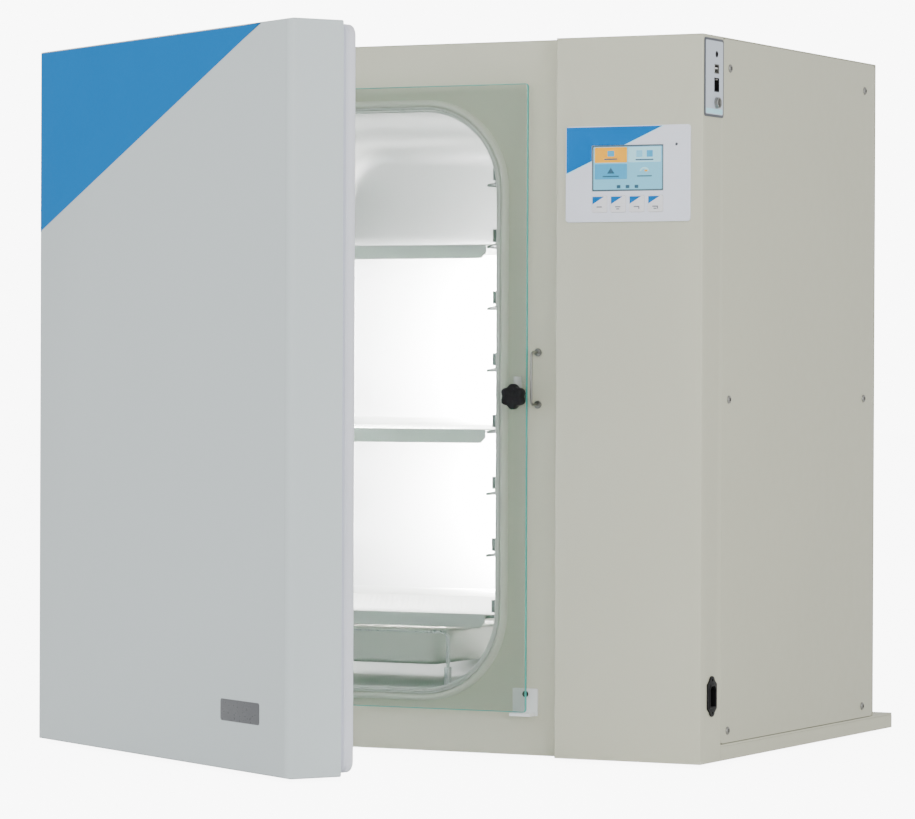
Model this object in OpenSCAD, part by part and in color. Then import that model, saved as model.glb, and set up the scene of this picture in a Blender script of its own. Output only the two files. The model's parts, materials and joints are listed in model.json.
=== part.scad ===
// Bench-top laboratory incubator: an insulated cabinet with a control column on its right,
// an inner glass door and an insulated outer door that stands partly open.
// Millimetres, +Z up. The doors face -Y and the column is at +X.
// The origin is on the surface that the feet stand on, under the middle of the cabinet.

/* [Cabinet] */
// Width of the cabinet
body_w = 864; // [850:1:880]
// Height of the cabinet above its feet
body_h = 890; // [886:1:900]
// Depth of the cabinet, without the base extension
body_d = 582; // [578:1:600]
// Width of the control column
column_w = 197; // [194:1:204]
// Step from the front of the column back to the fascia
recess = 23.5; // [22:0.5:26]
// Height of the feet below the base
foot_h = 4; // [3:1:8]
// Height of the base
base_h = 20; // [16:1:22]
// How far the base reaches behind the cabinet
base_extension = 71; // [60:1:90]
// Thickness of the painted sheet
sheet = 1.2; // [1:0.1:1.6]

/* [Chamber] */
// Inside width of the chamber
chamber_w = 484; // [476:1:490]
// Inside height of the chamber
chamber_h = 725; // [715:1:730]
// Inside depth of the chamber
chamber_d = 456; // [430:1:460]
// Height of the chamber floor above the base's underside
chamber_floor = 79; // [76:1:82]
// Radius of the chamber's long corners
corner_r = 100; // [90:1:110]
// Thickness of the stainless liner
liner_t = 1.5; // [1.2:0.1:2]
// Width of the rubber bead round the opening
bead_w = 14; // [10:0.5:14.5]

/* [Shelves] */
// Number of runner levels on each side
levels = 8; // [7:1:8]
// Height between two runner levels
level_pitch = 77.5; // [74:0.5:79]
// Height of the lowest runner above the base's underside
first_level = 171.5; // [168:0.5:176]
// Width of a runner's vertical leg
runner_h = 20; // [16:1:24]
// Width of the ledge that carries a shelf
ledge_w = 12; // [10:1:14]
// Length of a runner
runner_l = 400; // [380:1:410]
// Depth of a shelf
shelf_d = 390; // [370:1:395]
// Height of a shelf's front lip
shelf_lip = 16; // [10:1:20]

/* [Outer door] */
// Gap between the closed door and the column
door_gap = 3; // [2:0.5:5]
// Thickness of the painted door shell
door_t = 73; // [68:1:78]
// Thickness of the sealing strip between door and fascia
strip_t = 20; // [18:1:22]
// Radius of the shell's upright front edges
door_edge_r = 8; // [4:1:12]
// Depth of the recess that clears the glass door's knob
door_recess = 32; // [28:1:36]
// Angle at which the door stands open, in degrees
door_rest = 32; // [20:1:45]

/* [Glass door] */
// Width of the glass
glass_w = 580; // [570:1:584]
// Height of the glass
glass_h = 782; // [770:1:788]
// Thickness of the glass
glass_t = 5; // [4:0.5:5.5]
// Distance from the fascia to the back of the glass
glass_gap = 10; // [9.5:0.5:11]
// Radius of the star knob
knob_r = 16.5; // [14:0.5:17]

/* [Control panel] */
// Width of the bezel
bezel_w = 167; // [160:1:175]
// Height of the bezel
bezel_h = 118; // [112:1:124]
// Size of one key
key_size = 20.4; // [18:0.1:21]
// Distance between neighbouring keys
key_pitch = 25; // [24:0.5:26]
// How far a key stands out of the bezel
key_proud = 1; // [0.6:0.1:1.5]

/* [Hidden] */
$fn = 48;
slack = 0.3;                                // free gap between neighbouring pieces
cut = 1;                                    // how far a cutter runs past a face
x_left = -body_w/2;
x_right = body_w/2;
y_front = -body_d/2;
y_back = body_d/2;
column_x = x_right - column_w;
fascia_y = y_front + recess;
chamber_x = (x_left + column_x)/2;
chamber_z = chamber_floor + chamber_h/2;
panel_top = body_h - sheet;
bead_step = 2.5;                            // crest of the bead inside its two edges
liner_lip = 4;                              // how far the liner's rim stands out of the fascia
liner_front = fascia_y - liner_lip;
chamber_back = fascia_y + chamber_d;
liner_back = chamber_back + liner_t;

// base
plate_t = 3;
rail_t = 2.5;
base_back = y_back + base_extension;
strip_d = 63;                               // depth of the column's folded side
strip_y = y_front + strip_d;
foot_r = 22;
foot_inset = 60;

// side cover and its screws
cover_gap = 0.8;                            // shadow line round the side cover
cover_y0 = strip_y + cover_gap;
cover_y1 = y_back - plate_t;
cover_z0 = base_h + cover_gap;
cover_z1 = panel_top - slack;
cover_screw_in = [84, 41];                  // from the front and from the back
cover_screw_y = [y_front + cover_screw_in[0], y_back - cover_screw_in[1]];
cover_screw_z = [36, 444.5, 852.5];
screw_r = 2.2;
screw_l = 8;
hole_play = 0.2;                            // radial room round a screw
screw_head_r = 5;
screw_head_h = 2.4;

// rear panel
rear_screw_in = 25;
rear_screw_x = [x_left + rear_screw_in, chamber_x, x_right - rear_screw_in];
rear_screw_z = [60, 450, 850];
gas_in = 70;
gas_x = x_right - gas_in;
gas_z = 200;
gas_r = 6;
gas_nut = [11, 6];                          // radius and length
gas_spigot = [3.5, 18];
gas_barb = [4.5, 3, 7];                     // radius, length and pitch
gas_inside = 30;
vent_x = x_right - column_w/2;
vent_w = 110;
vent_h = 5;
vent_pitch = 14;
vents = 8;
vent_z = 640;

// insulation and heating
heater_t = 1;
heater_in = 25;                             // from the chamber's front and back
fan_clear = 60;                             // heater-free height round the fan shaft
back_gap = 8;                               // air behind the rear insulation
wall_gap = heater_t + 2*slack;
fan_z = 132;
fan_r = 36;
motor_r = 34;
motor_l = 60;
motor_gap = 2;
motor_boss_r = 12;
shaft_r = 4;
fit = 0.05;                                 // radial clearance of a running fit
fan_y = chamber_back - 23;                  // front of the impeller
fan_depth = 14;
guard_gap = 6;                              // guard to wheel, in front
guard_y = fan_y - guard_gap;
guard_play = 8;                             // guard to wheel, around
guard_t = 1.5;
guard_disc_r = 10;
guard_bar = 3;
hub_r = 11;
hub_face = 1;                               // closed front of the hub
disc_t = 1.5;
blades = 8;
blade_t = 1.6;
sensor_in = [84, 70];                       // from the chamber's right side and top
sensor_r = [14, 8];                         // flange and probe
sensor_l = [4, 58];

// shelf runners and shelves
runner_t = 2;
ledge_t = 1.5;
wall_x = chamber_w/2;                       // half width, measured from the chamber's middle
runner_gap = 8;                             // liner to a runner's vertical leg
runner_x = wall_x - runner_gap;
runner_set = 15;                            // runners start this far behind the fascia
runner_y0 = fascia_y + runner_set;
upright_w = 22;
upright_t = 2;
upright_in = 60;
upright_ys = [runner_y0 + upright_in, runner_y0 + runner_l - upright_in];
upright_end = 20;                           // below the lowest runner
spacer_r = 6;
spacer_in = 45;                             // from an upright's ends
shelf_t = 1.5;
shelf_set = 3;
shelf_y0 = runner_y0 + shelf_set;
shelf_play = 0.8;
shelf_half = runner_x - runner_t - shelf_play;
shelf_back_lip = 12;
shelf_lip_play = 2;
shelf_margin = [20, 25];                    // unpierced border at the sides and the ends
shelf_levels = [0, 3, 6];
slot_rows = 8;
slot_cols = 6;
slot_l = 48;
slot_w = 8;

// water pan
pan_w = 322;
pan_d = 265;
pan_rim = 12;
pan_rim_z = 152;
pan_h = 48;
pan_r = 46;
pan_t = 1;
pan_set = 28;                               // pan starts this far behind the fascia
pan_y = fascia_y + pan_set + pan_d/2;
stand_r = 2.5;
stand_foot_h = 22;
stand_bar_z = pan_rim_z - pan_t - slack - stand_r;
stand_in = 3;
stand_x = pan_w/2 - stand_in;
stand_y = pan_d/2 - pan_rim/2;
foot_reach = stand_x + 2*stand_r - (wall_x - corner_r);   // how far a foot runs onto the round corner
stand_foot_z = chamber_floor + corner_r - sqrt(pow(corner_r, 2) - pow(foot_reach, 2)) + slack;

// glass door
glass_back = fascia_y - glass_gap;
glass_front = glass_back - glass_t;
glass_z0 = body_h/2 - glass_h/2;
glass_corner_r = 4;
glass_hinge_out = 8;                        // pin beside the glass edge
glass_hinge_x = chamber_x - glass_w/2 - glass_hinge_out;
glass_hinge_y = (glass_back + glass_front)/2;
glass_hinge_in = 110;
glass_hinge_zs = [glass_z0 + glass_hinge_in, glass_z0 + glass_h - glass_hinge_in];
glass_pin_r = 2;
glass_knuckle_r = 5;
clamp_w = 32;
clamp_h = 44;
clamp_t = 2;
clamp_set = 6;                              // clamp's web from the pin
clamp_web = 1.8;
ear_h = 5;
ear_half = 4;
bracket_foot = [6, 12, 2];                  // left and right of the pin, and its thickness
bracket_half = 20;
knuckle_half = 7;
latch_in = 11;
latch_x = chamber_x + glass_w/2 - latch_in;
latch_z = 447;
latch_r = 4;
bush_r = 5.9;
bush_flange = [9, 1.5, 1];                  // radius, and thickness behind and in front
tongue_l = 25;
tongue_w = 11;
tongue_t = [3.1, 1.3];                      // its two faces, in front of the glass
star_gap = 8;                               // knob's back to the glass
star_t = 14;
lobes = 6;
lobe_share = 0.34;
core_share = 0.76;
stem_r = 8;
stem_lap = 4;
shaft_end = 3;                              // shaft behind the glass
keeper_out = 20.2;                          // beside the latch, and out from the fascia
keeper_x = latch_x + keeper_out;
keeper_y = fascia_y - keeper_out;
keeper_z = [437, 502];
keeper_r = 1.6;
keeper_foot = [5, 3];                       // radius and thickness
rest_in = 23;
rest_x = chamber_x + glass_w/2 - rest_in;
rest_lip = 4;
rest_z = glass_z0 - rest_lip - 2*slack;
rest_w = 34;
rest_t = 3;
rest_lip_in = 3;
rest_screw = [18, 27];                      // from the block's lower left corner
rest_head = [4, 2];                         // radius and height

// outer door, drawn closed and then swung open about its pins
pin_out = 8.5;                              // left of the cabinet's side
pin_set = 10;                               // in front of the fascia
pin_x = x_left - pin_out;
pin_y = fascia_y - pin_set;
pin_r = 3;
knuckle_r = 7;
hinge_zs = [120, 770];
hinge_h = 60;
leaf_t = 3;
leaf_l = 46;
pin_head = [5, 2];                          // radius and height
door_x0 = x_left;
door_x1 = column_x - door_gap;
door_back = fascia_y - strip_t;
door_front = door_back - door_t;
strip_inset = 3.3;
strip_w = 17;
recess_in = [32, 26];                       // hinge side and free side
recess_x0 = door_x0 + recess_in[0];
recess_x1 = door_x1 - recess_in[1];
recess_z0 = 28;
recess_r = 18;
decal_t = 0.4;
decal_w = 589;
decal_h = 231;
badge_w = 96;
badge_h = 26;
badge_in = 549;                             // from the hinge side
badge_x = door_x0 + badge_in;
badge_r = 3;
strip_r = [14, 5];                          // corner radii outside and inside
badge_z = 72;

// control panel
bezel_t = 3;
bezel_in = 182.5;                           // bezel's left edge from the right side
bezel_x0 = x_right - bezel_in;
bezel_z0 = 662;
bezel_r = 4;
screen_w = 95.6;
screen_h = 56;
screen_set = [35.7, 38];                    // from the bezel's lower left corner
screen_x0 = bezel_x0 + screen_set[0];
screen_z0 = bezel_z0 + screen_set[1];
screen_sunk = 0.6;
panel_margin = 4;
keys_up = 22;                               // middle of the key row above the bezel's edge
keys_z = bezel_z0 + keys_up;
key_r = 2;
key_back = 3;                               // key's back to the board
led_set = [149, 94];
led_x = bezel_x0 + led_set[0];
led_z = bezel_z0 + led_set[1];
led_proud = 0.4;
led_r = 2;
board_set = 8;
board_y = y_front + board_set;
board_t = 1.6;
board_margin = [3, 6, 8, 2];                // left, right, bottom and top

// connectors on the column's side
plate_y0 = y_front + plate_t;
plate_y1 = strip_y - cut;
plate_r = 4;
port_margin = 8;
port_z0 = 790;
port_z1 = 886;
port_in = 39.4;                             // from the column's front
port_y = y_front + port_in;
jack_r = 3.9;
jack_bore_r = 1.8;
round_r = 6.9;
round_bore_r = 4.8;
round_proud = 4;
data_size = [14.2, 11.4];
network_size = [14.6, 17];
port_wall = [1.8, 1.8];                     // both walls of the data socket
network_wall = [2.6, 2.6];
port_play = [0.4, 0.4];
port_proud = 0.4;
port_l = 14;
port_deep = 12;
round_deep = 8;
jack_z = 867;
usb_z = 849;
network_z = 829.5;
round_z = 807.5;
inlet_in = 33;                              // from the column's front
inlet_y = y_front + inlet_in;
inlet_z = 81.5;
inlet_flange = [28, 34];                    // width, and height between the ears' middles
ear_r = 8;
inlet_t = 3;
inlet_l = 24;
inlet_hole = [20, 1.7];                     // up and down from the middle, and radius
socket_size = [17, 25];
socket_wall = [4, 4];
socket_room = [5, 5];
socket_d = 19;
blade = [12, 2, 4];                         // length, thickness and height
blade_set = [[-3, 7], [3, 0], [-3, -7]];    // middles of the three blades
blade_root = 0.5;
post_ys = [-150, 50];                       // the circuit board's posts
post_zs = [300, 560];
post_r = 4;
post_l = 10;
post_in = 15;                               // from the board's edges
supply = [[-140, 320], [-20, 420], 45];     // low corner, high corner and height
valve = [[0, 330], [45, 400], 30];
relay = [[-120, 450], [-30, 472], 16];
relay_ups = [0, 50, 90];

paint = "#c8c9c1";
door_paint = "#c6c8ca";
stainless = "#c9cccf";
rubber = "#d5d3c8";
dark = "#26272a";
blue = "#1095d4";

// ---- helpers -------------------------------------------------------------------------------

module on_feet() translate([0, 0, foot_h]) children();

// a box between two opposite corners
module block(low, high) translate(low) cube(high - low);

// extrudes an outline drawn in X and Z, from y0 to y1
module along_y(y0, y1) translate([0, y1, 0]) rotate([90, 0, 0]) linear_extrude(y1 - y0) children();

// extrudes an outline drawn in Y and Z, from x0 to x1
module along_x(x0, x1) translate([x0, 0, 0]) rotate([90, 0, 90]) linear_extrude(x1 - x0) children();

// a round bar or cutter along Y
module rod_y(x, z, y0, y1, r) translate([x, y1, z]) rotate([90, 0, 0]) cylinder(r = r, h = y1 - y0);

// a round bar or cutter along X
module rod_x(y, z, x0, x1, r) translate([x0, y, z]) rotate([0, 90, 0]) cylinder(r = r, h = x1 - x0);

module round_rect(w, h, r) {
    square([w - 2*r, h], center = true);
    square([w, h - 2*r], center = true);
    for (sx = [-1, 1], sy = [-1, 1]) translate([sx*(w/2 - r), sy*(h/2 - r)]) circle(r);
}

module round_box(low, high, r) {
    size = high - low;
    translate((low + high)/2) round_rect(size[0], size[1], r);
}

// the chamber's outline, grown outwards
module chamber_outline(grow) {
    translate([chamber_x, chamber_z])
        round_rect(chamber_w + 2*grow, chamber_h + 2*grow, corner_r + grow);
}

// both sides of the chamber
module each_side() for (side = [-1, 1]) translate([chamber_x, 0, 0]) scale([side, 1, 1]) children();

// swings the outer door's pieces from closed to where they stand at rest
module door_at_rest() {
    translate([pin_x, pin_y, 0]) rotate([0, 0, -door_rest]) translate([-pin_x, -pin_y, 0]) children();
}

// ---- base and outer panels ------------------------------------------------------------------

module feet() color(dark) {
    foot_xs = [x_left + foot_inset, x_right - foot_inset];
    foot_ys = [fascia_y + foot_inset, y_back - foot_inset];
    corners = [for (x = foot_xs, y = foot_ys) [x, y]];
    for (p = concat(corners, [[0, 0]])) translate(p) cylinder(r = foot_r, h = foot_h + base_h - plate_t);
}

// the plan of everything behind the front sheets
module plan_behind_fronts(back, side_inset) {
    step_y = strip_y + slack;
    front_y = y_front + sheet + slack;
    polygon([[x_left, fascia_y + sheet + slack], [column_x + sheet + slack, fascia_y + sheet + slack],
        [column_x + sheet + slack, front_y], [x_right - side_inset, front_y],
        [x_right - side_inset, step_y], [x_right, step_y], [x_right, back], [x_left, back]]);
}

module base_plate() color(paint) on_feet() {
    translate([0, 0, base_h - plate_t]) linear_extrude(plate_t)
        plan_behind_fronts(base_back, sheet + slack);
}

module base_rails() color(paint) on_feet() {
    top = base_h - plate_t;
    y0 = fascia_y + sheet + slack;
    inner = rail_t + slack;
    block([x_left, y0, 0], [x_left + rail_t, base_back, top]);
    block([x_right - rail_t, strip_y + slack, 0], [x_right, base_back, top]);
    block([x_left + inner, base_back - rail_t, 0], [x_right - inner, base_back, top]);
    block([x_left + inner, y0, 0], [column_x, y0 + rail_t, top]);
    block([x_left + inner, y_back - rail_t, 0], [x_right - inner, y_back, top]);
}

module left_panel() color(paint) on_feet() {
    block([x_left, fascia_y + sheet, base_h], [x_left + sheet, y_back - sheet, panel_top]);
}

module top_panel() color(paint) on_feet() {
    translate([0, 0, panel_top]) linear_extrude(sheet)
        polygon([[x_left, fascia_y], [column_x, fascia_y], [column_x, y_front], [x_right, y_front],
            [x_right, y_back], [x_left, y_back]]);
}

module rear_panel() color(paint) on_feet() difference() {
    block([x_left, y_back - sheet, base_h], [x_right, y_back, panel_top]);
    for (x = rear_screw_x, z = rear_screw_z)
        rod_y(x, z, y_back - sheet - cut, y_back + cut, screw_r + hole_play);
    rod_y(gas_x, gas_z, y_back - sheet - cut, y_back + cut, gas_r + hole_play);
    for (i = [0 : vents - 1])
        translate([vent_x - vent_w/2, y_back - sheet - cut, vent_z + i*vent_pitch])
            cube([vent_w, sheet + 2*cut, vent_h]);
}

module rear_panel_screws() color(stainless) on_feet() {
    for (x = rear_screw_x, z = rear_screw_z) {
        rod_y(x, z, y_back - screw_l, y_back, screw_r);
        rod_y(x, z, y_back, y_back + screw_head_h, screw_head_r);
    }
}

module front_fascia() color(paint) on_feet() difference() {
    block([x_left, fascia_y, 0], [column_x, fascia_y + sheet, panel_top]);
    along_y(fascia_y - cut, fascia_y + sheet + cut) chamber_outline(liner_t + slack);
}

module divider_panel() color(paint) on_feet() {
    block([column_x, fascia_y + sheet, base_h], [column_x + sheet, y_back - sheet, panel_top]);
}

module column_cover() color(paint) on_feet() difference() {
    union() {
        block([column_x, y_front, 0], [x_right, y_front + sheet, panel_top]);
        block([column_x, y_front, 0], [column_x + sheet, fascia_y + sheet - slack, panel_top]);
        block([x_right - sheet, y_front, 0], [x_right, strip_y, panel_top]);
    }
    block([screen_x0 - panel_margin, y_front - cut, bezel_z0 + panel_margin],
        [screen_x0 + screen_w + panel_margin, y_front + sheet + cut,
            screen_z0 + screen_h + panel_margin]);
    rod_y(led_x, led_z, y_front - cut, y_front + sheet + cut, led_r + slack);
    along_x(x_right - sheet - cut, x_right + cut) {
        translate([plate_y0 + port_margin, port_z0 + port_margin])
            square([plate_y1 - plate_y0 - 2*port_margin, port_z1 - port_z0 - 2*port_margin]);
        translate([inlet_y, inlet_z]) square(socket_size + socket_room, center = true);
    }
}

module side_cover() color(paint) on_feet() difference() {
    block([x_right - sheet, cover_y0, cover_z0], [x_right, cover_y1, cover_z1]);
    for (y = cover_screw_y, z = cover_screw_z)
        rod_x(y, z, x_right - sheet - cut, x_right + cut, screw_r + hole_play);
}

module side_cover_screws() color(stainless) on_feet() {
    for (y = cover_screw_y, z = cover_screw_z) {
        rod_x(y, z, x_right - screw_l, x_right, screw_r);
        rod_x(y, z, x_right, x_right + screw_head_h, screw_head_r);
    }
}

// ---- insulation, heating and chamber ---------------------------------------------------------

module insulation_panels() color("#e9dfb8") on_feet() {
    x0 = x_left + sheet + slack;
    x1 = column_x - slack;
    in_x0 = chamber_x - wall_x - liner_t - wall_gap;
    in_x1 = chamber_x + wall_x + liner_t + wall_gap;
    y0 = fascia_y + sheet + slack;
    y1 = liner_back + wall_gap;
    y2 = y_back - sheet - slack;
    z0 = base_h + slack;
    z1 = panel_top - slack;
    floor_z = chamber_floor - liner_t - wall_gap;
    roof_z = chamber_floor + chamber_h + liner_t + wall_gap;
    block([x0, y0, z0], [in_x0, y1, z1]);
    block([in_x1, y0, z0], [x1, y1, z1]);
    block([in_x0 + slack, y0, z0], [in_x1 - slack, y1, floor_z]);
    block([in_x0 + slack, y0, roof_z], [in_x1 - slack, y1, z1]);
    difference() {
        block([x0, y1 + slack, z0], [x1, y2 - back_gap, z1]);
        rod_y(chamber_x, fan_z, y1, y2, motor_r + cut);
    }
}

module heater_mats() color("#a9562f") on_feet() {
    flat_z = [chamber_floor + corner_r, chamber_floor + chamber_h - corner_r];
    y0 = fascia_y + heater_in;
    y1 = chamber_back - heater_in;
    each_side() block([wall_x + liner_t + slack, y0, flat_z[0]],
        [wall_x + liner_t + slack + heater_t, y1, flat_z[1]]);
    half = wall_x - corner_r;
    low_z = chamber_floor - liner_t - slack;
    high_z = chamber_floor + chamber_h + liner_t + slack;
    block([chamber_x - half, y0, low_z - heater_t], [chamber_x + half, y1, low_z]);
    block([chamber_x - half, y0, high_z], [chamber_x + half, y1, high_z + heater_t]);
    block([chamber_x - half, liner_back + slack, flat_z[0] + fan_clear],
        [chamber_x + half, liner_back + slack + heater_t, flat_z[1]]);
}

module chamber_liner() color(stainless) on_feet() difference() {
    along_y(liner_front, liner_back) chamber_outline(liner_t);
    along_y(liner_front - cut, chamber_back) chamber_outline(0);
    rod_y(chamber_x, fan_z, chamber_back - cut, liner_back + cut, shaft_r + 2);
}

module chamber_gasket() color(rubber) on_feet() {
    inner = liner_t + slack;
    crest = glass_back + slack;             // front of the bead, just clear of the glass
    mid = (fascia_y + crest)/2;
    along_y(mid, fascia_y) difference() {
        chamber_outline(inner + bead_w);
        chamber_outline(inner);
    }
    along_y(crest, mid) difference() {
        chamber_outline(inner + bead_w - bead_step);
        chamber_outline(inner + bead_step);
    }
}

// ---- inside the chamber ---------------------------------------------------------------------

// the eight runners of one side; their outline is an L that opens towards the middle
module runners(side) on_feet() translate([chamber_x, 0, 0]) {
    for (i = [0 : levels - 1]) {
        z = first_level + i*level_pitch;
        along_y(runner_y0, runner_y0 + runner_l) scale([side, 1]) union() {
            translate([runner_x - runner_t, z - ledge_t]) square([runner_t, runner_h + ledge_t]);
            translate([runner_x - runner_t - ledge_w, z - ledge_t]) square([ledge_w + runner_t, ledge_t]);
        }
    }
}

module left_runners() color(stainless) runners(-1);

module right_runners() color(stainless) runners(1);

// upright strips that carry the runners, with round spacers against the liner
module runner_uprights() color(stainless) on_feet() {
    low = first_level - upright_end;
    high = first_level + (levels - 1)*level_pitch + runner_h/2;
    for (side = [-1, 1], y = upright_ys) {
        inner = chamber_x + side*runner_x;
        outer = chamber_x + side*(runner_x + upright_t);
        block([min(inner, outer), y - upright_w/2, low], [max(inner, outer), y + upright_w/2, high]);
        for (z = [low + spacer_in, high - spacer_in])
            rod_x(y, z, min(outer, chamber_x + side*wall_x), max(outer, chamber_x + side*wall_x),
                spacer_r);
    }
}

// a perforated shelf: flat plate, turned-down front lip and turned-up back lip
module shelf(level) on_feet() {
    z = first_level + level*level_pitch;
    y1 = shelf_y0 + shelf_d;
    lip_half = shelf_half - ledge_w - shelf_lip_play;
    pitch_x = 2*(shelf_half - shelf_margin[0])/slot_cols;
    pitch_y = (shelf_d - 2*shelf_margin[1])/slot_rows;
    difference() {
        block([chamber_x - shelf_half, shelf_y0, z], [chamber_x + shelf_half, y1, z + shelf_t]);
        for (i = [0 : slot_cols - 1], j = [0 : slot_rows - 1])
            translate([chamber_x + (i + 0.5 - slot_cols/2)*pitch_x - slot_l/2,
                shelf_y0 + shelf_margin[1] + (j + 0.5)*pitch_y - slot_w/2, z - cut])
                cube([slot_l, slot_w, shelf_t + 2*cut]);
    }
    block([chamber_x - lip_half, shelf_y0, z - shelf_lip], [chamber_x + lip_half, shelf_y0 + shelf_t, z]);
    block([chamber_x - lip_half, y1 - shelf_t, z], [chamber_x + lip_half, y1, z + shelf_back_lip]);
}

module lower_shelf() color(stainless) shelf(shelf_levels[0]);

module middle_shelf() color(stainless) shelf(shelf_levels[1]);

module upper_shelf() color(stainless) shelf(shelf_levels[2]);

module water_pan() color(stainless) on_feet() translate([chamber_x, pan_y, 0]) {
    body_pan = [pan_w - 2*pan_rim, pan_d - 2*pan_rim];
    difference() {
        union() {
            translate([0, 0, pan_rim_z - pan_t]) linear_extrude(pan_t) round_rect(pan_w, pan_d, pan_r);
            translate([0, 0, pan_rim_z - pan_h]) linear_extrude(pan_h)
                round_rect(body_pan[0], body_pan[1], pan_r - pan_rim);
        }
        translate([0, 0, pan_rim_z - pan_h + pan_t]) linear_extrude(pan_h)
            round_rect(body_pan[0] - 2*pan_t, body_pan[1] - 2*pan_t, pan_r - pan_rim - pan_t);
    }
}

// two bent-rod trestles under the pan's rim, one in front and one behind
module pan_stand() color(stainless) on_feet() translate([chamber_x, pan_y, 0]) {
    for (y = [-stand_y, stand_y]) {
        rod_x(y, stand_bar_z, -stand_x, stand_x, stand_r);
        for (x = [-stand_x, stand_x]) {
            translate([x, y, stand_foot_z]) cylinder(r = 2*stand_r, h = stand_foot_h);
            translate([x, y, chamber_floor + stand_foot_h])
                cylinder(r = stand_r, h = stand_bar_z - chamber_floor - stand_foot_h);
            translate([x, y, stand_bar_z]) sphere(r = stand_r);
        }
    }
}

module fan_motor() color(dark) on_feet() difference() {
    y0 = liner_back + wall_gap + motor_gap;
    union() {
        rod_y(chamber_x, fan_z, y0, y0 + motor_l, motor_r);
        rod_y(chamber_x, fan_z, y0 - motor_gap, y0, motor_boss_r);
    }
    rod_y(chamber_x, fan_z, y0 - motor_gap - cut, y0 + motor_l/2, shaft_r + fit);
}

module fan_shaft() color(stainless) on_feet() {
    rod_y(chamber_x, fan_z, fan_y + hub_face, liner_back + wall_gap + motor_l/2 - motor_gap, shaft_r);
}

module fan_impeller() color(stainless) on_feet() difference() {
    union() {
        rod_y(chamber_x, fan_z, fan_y, fan_y + fan_depth, hub_r);
        rod_y(chamber_x, fan_z, fan_y + fan_depth - disc_t, fan_y + fan_depth, fan_r);
        translate([chamber_x, fan_y, fan_z]) for (i = [0 : blades - 1]) rotate([0, i*360/blades, 0])
            translate([hub_r - 2*cut, cut, -blade_t/2])
                cube([fan_r - hub_r + cut, fan_depth - disc_t, blade_t]);
    }
    rod_y(chamber_x, fan_z, fan_y + hub_face, fan_y + fan_depth + cut, shaft_r);
}

// a ring round the fan wheel with four bars and a middle disc in front
module fan_guard() color(stainless) on_feet() {
    ring_r = fan_r + guard_play;
    difference() {
        rod_y(chamber_x, fan_z, guard_y, chamber_back, ring_r);
        rod_y(chamber_x, fan_z, guard_y - cut, chamber_back + cut, ring_r - guard_t);
    }
    rod_y(chamber_x, fan_z, guard_y, guard_y + guard_t, guard_disc_r);
    for (a = [45, 135]) translate([chamber_x, guard_y, fan_z]) rotate([0, a, 0])
        translate([cut - ring_r, 0, -guard_bar/2]) cube([2*(ring_r - cut), guard_t, guard_bar]);
}

module co2_sensor() color("#8d9196") on_feet() {
    x = chamber_x + wall_x - sensor_in[0];
    z = chamber_floor + chamber_h - sensor_in[1];
    rod_y(x, z, chamber_back - sensor_l[0], chamber_back, sensor_r[0]);
    rod_y(x, z, chamber_back - sensor_l[1], chamber_back - sensor_l[0], sensor_r[1]);
}

// ---- glass door -----------------------------------------------------------------------------

module glass_pane() color([0.75, 0.88, 0.84, 0.4]) on_feet() difference() {
    along_y(glass_front, glass_back)
        translate([chamber_x, glass_z0 + glass_h/2]) round_rect(glass_w, glass_h, glass_corner_r);
    rod_y(latch_x, latch_z, glass_front - cut, glass_back + cut, bush_r + hole_play/2);
}

// plates on both faces of the glass with a knuckle beside its edge
module glass_hinge_clamps() color(stainless) on_feet() {
    x0 = glass_hinge_x + clamp_set;
    for (z = glass_hinge_zs) difference() {
        union() {
            block([x0, glass_front - clamp_t, z - clamp_h/2], [x0 + clamp_w, glass_front, z + clamp_h/2]);
            block([x0, glass_back, z - clamp_h/2], [x0 + clamp_w, glass_back + clamp_t, z + clamp_h/2]);
            block([x0, glass_front - cut, z - clamp_h/2],
                [x0 + clamp_web, glass_back + cut, z + clamp_h/2]);
            block([glass_hinge_x, glass_hinge_y - clamp_t, z - knuckle_half],
                [x0 + cut, glass_hinge_y + clamp_t, z + knuckle_half]);
            translate([glass_hinge_x, glass_hinge_y, z - knuckle_half])
                cylinder(r = glass_knuckle_r, h = 2*knuckle_half);
        }
        translate([glass_hinge_x, glass_hinge_y, z - knuckle_half - cut])
            cylinder(r = glass_pin_r + fit, h = 2*knuckle_half + 2*cut);
    }
}

// a foot on the fascia, an ear above and below the clamp's knuckle, and the pin through them
module glass_hinge_brackets() color(stainless) on_feet() {
    for (z = glass_hinge_zs) {
        block([glass_hinge_x - bracket_foot[0], fascia_y - bracket_foot[2], z - bracket_half],
            [glass_hinge_x + bracket_foot[1], fascia_y, z + bracket_half]);
        for (low = [z - knuckle_half - slack - ear_h, z + knuckle_half + slack]) {
            block([glass_hinge_x - ear_half, glass_hinge_y, low],
                [glass_hinge_x + ear_half, fascia_y - cut, low + ear_h]);
            translate([glass_hinge_x, glass_hinge_y, low]) cylinder(r = glass_knuckle_r, h = ear_h);
        }
        translate([glass_hinge_x, glass_hinge_y, z - knuckle_half - ear_h])
            cylinder(r = glass_pin_r, h = 2*(knuckle_half + ear_h));
    }
}

module latch_bush() color(stainless) on_feet() difference() {
    union() {
        rod_y(latch_x, latch_z, glass_front, glass_back, bush_r);
        rod_y(latch_x, latch_z, glass_back, glass_back + bush_flange[1], bush_flange[0]);
        rod_y(latch_x, latch_z, glass_front - bush_flange[2], glass_front, bush_flange[0]);
    }
    rod_y(latch_x, latch_z, glass_front - 2*cut, glass_back + bush_flange[1] + cut, latch_r + fit);
}

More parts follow.
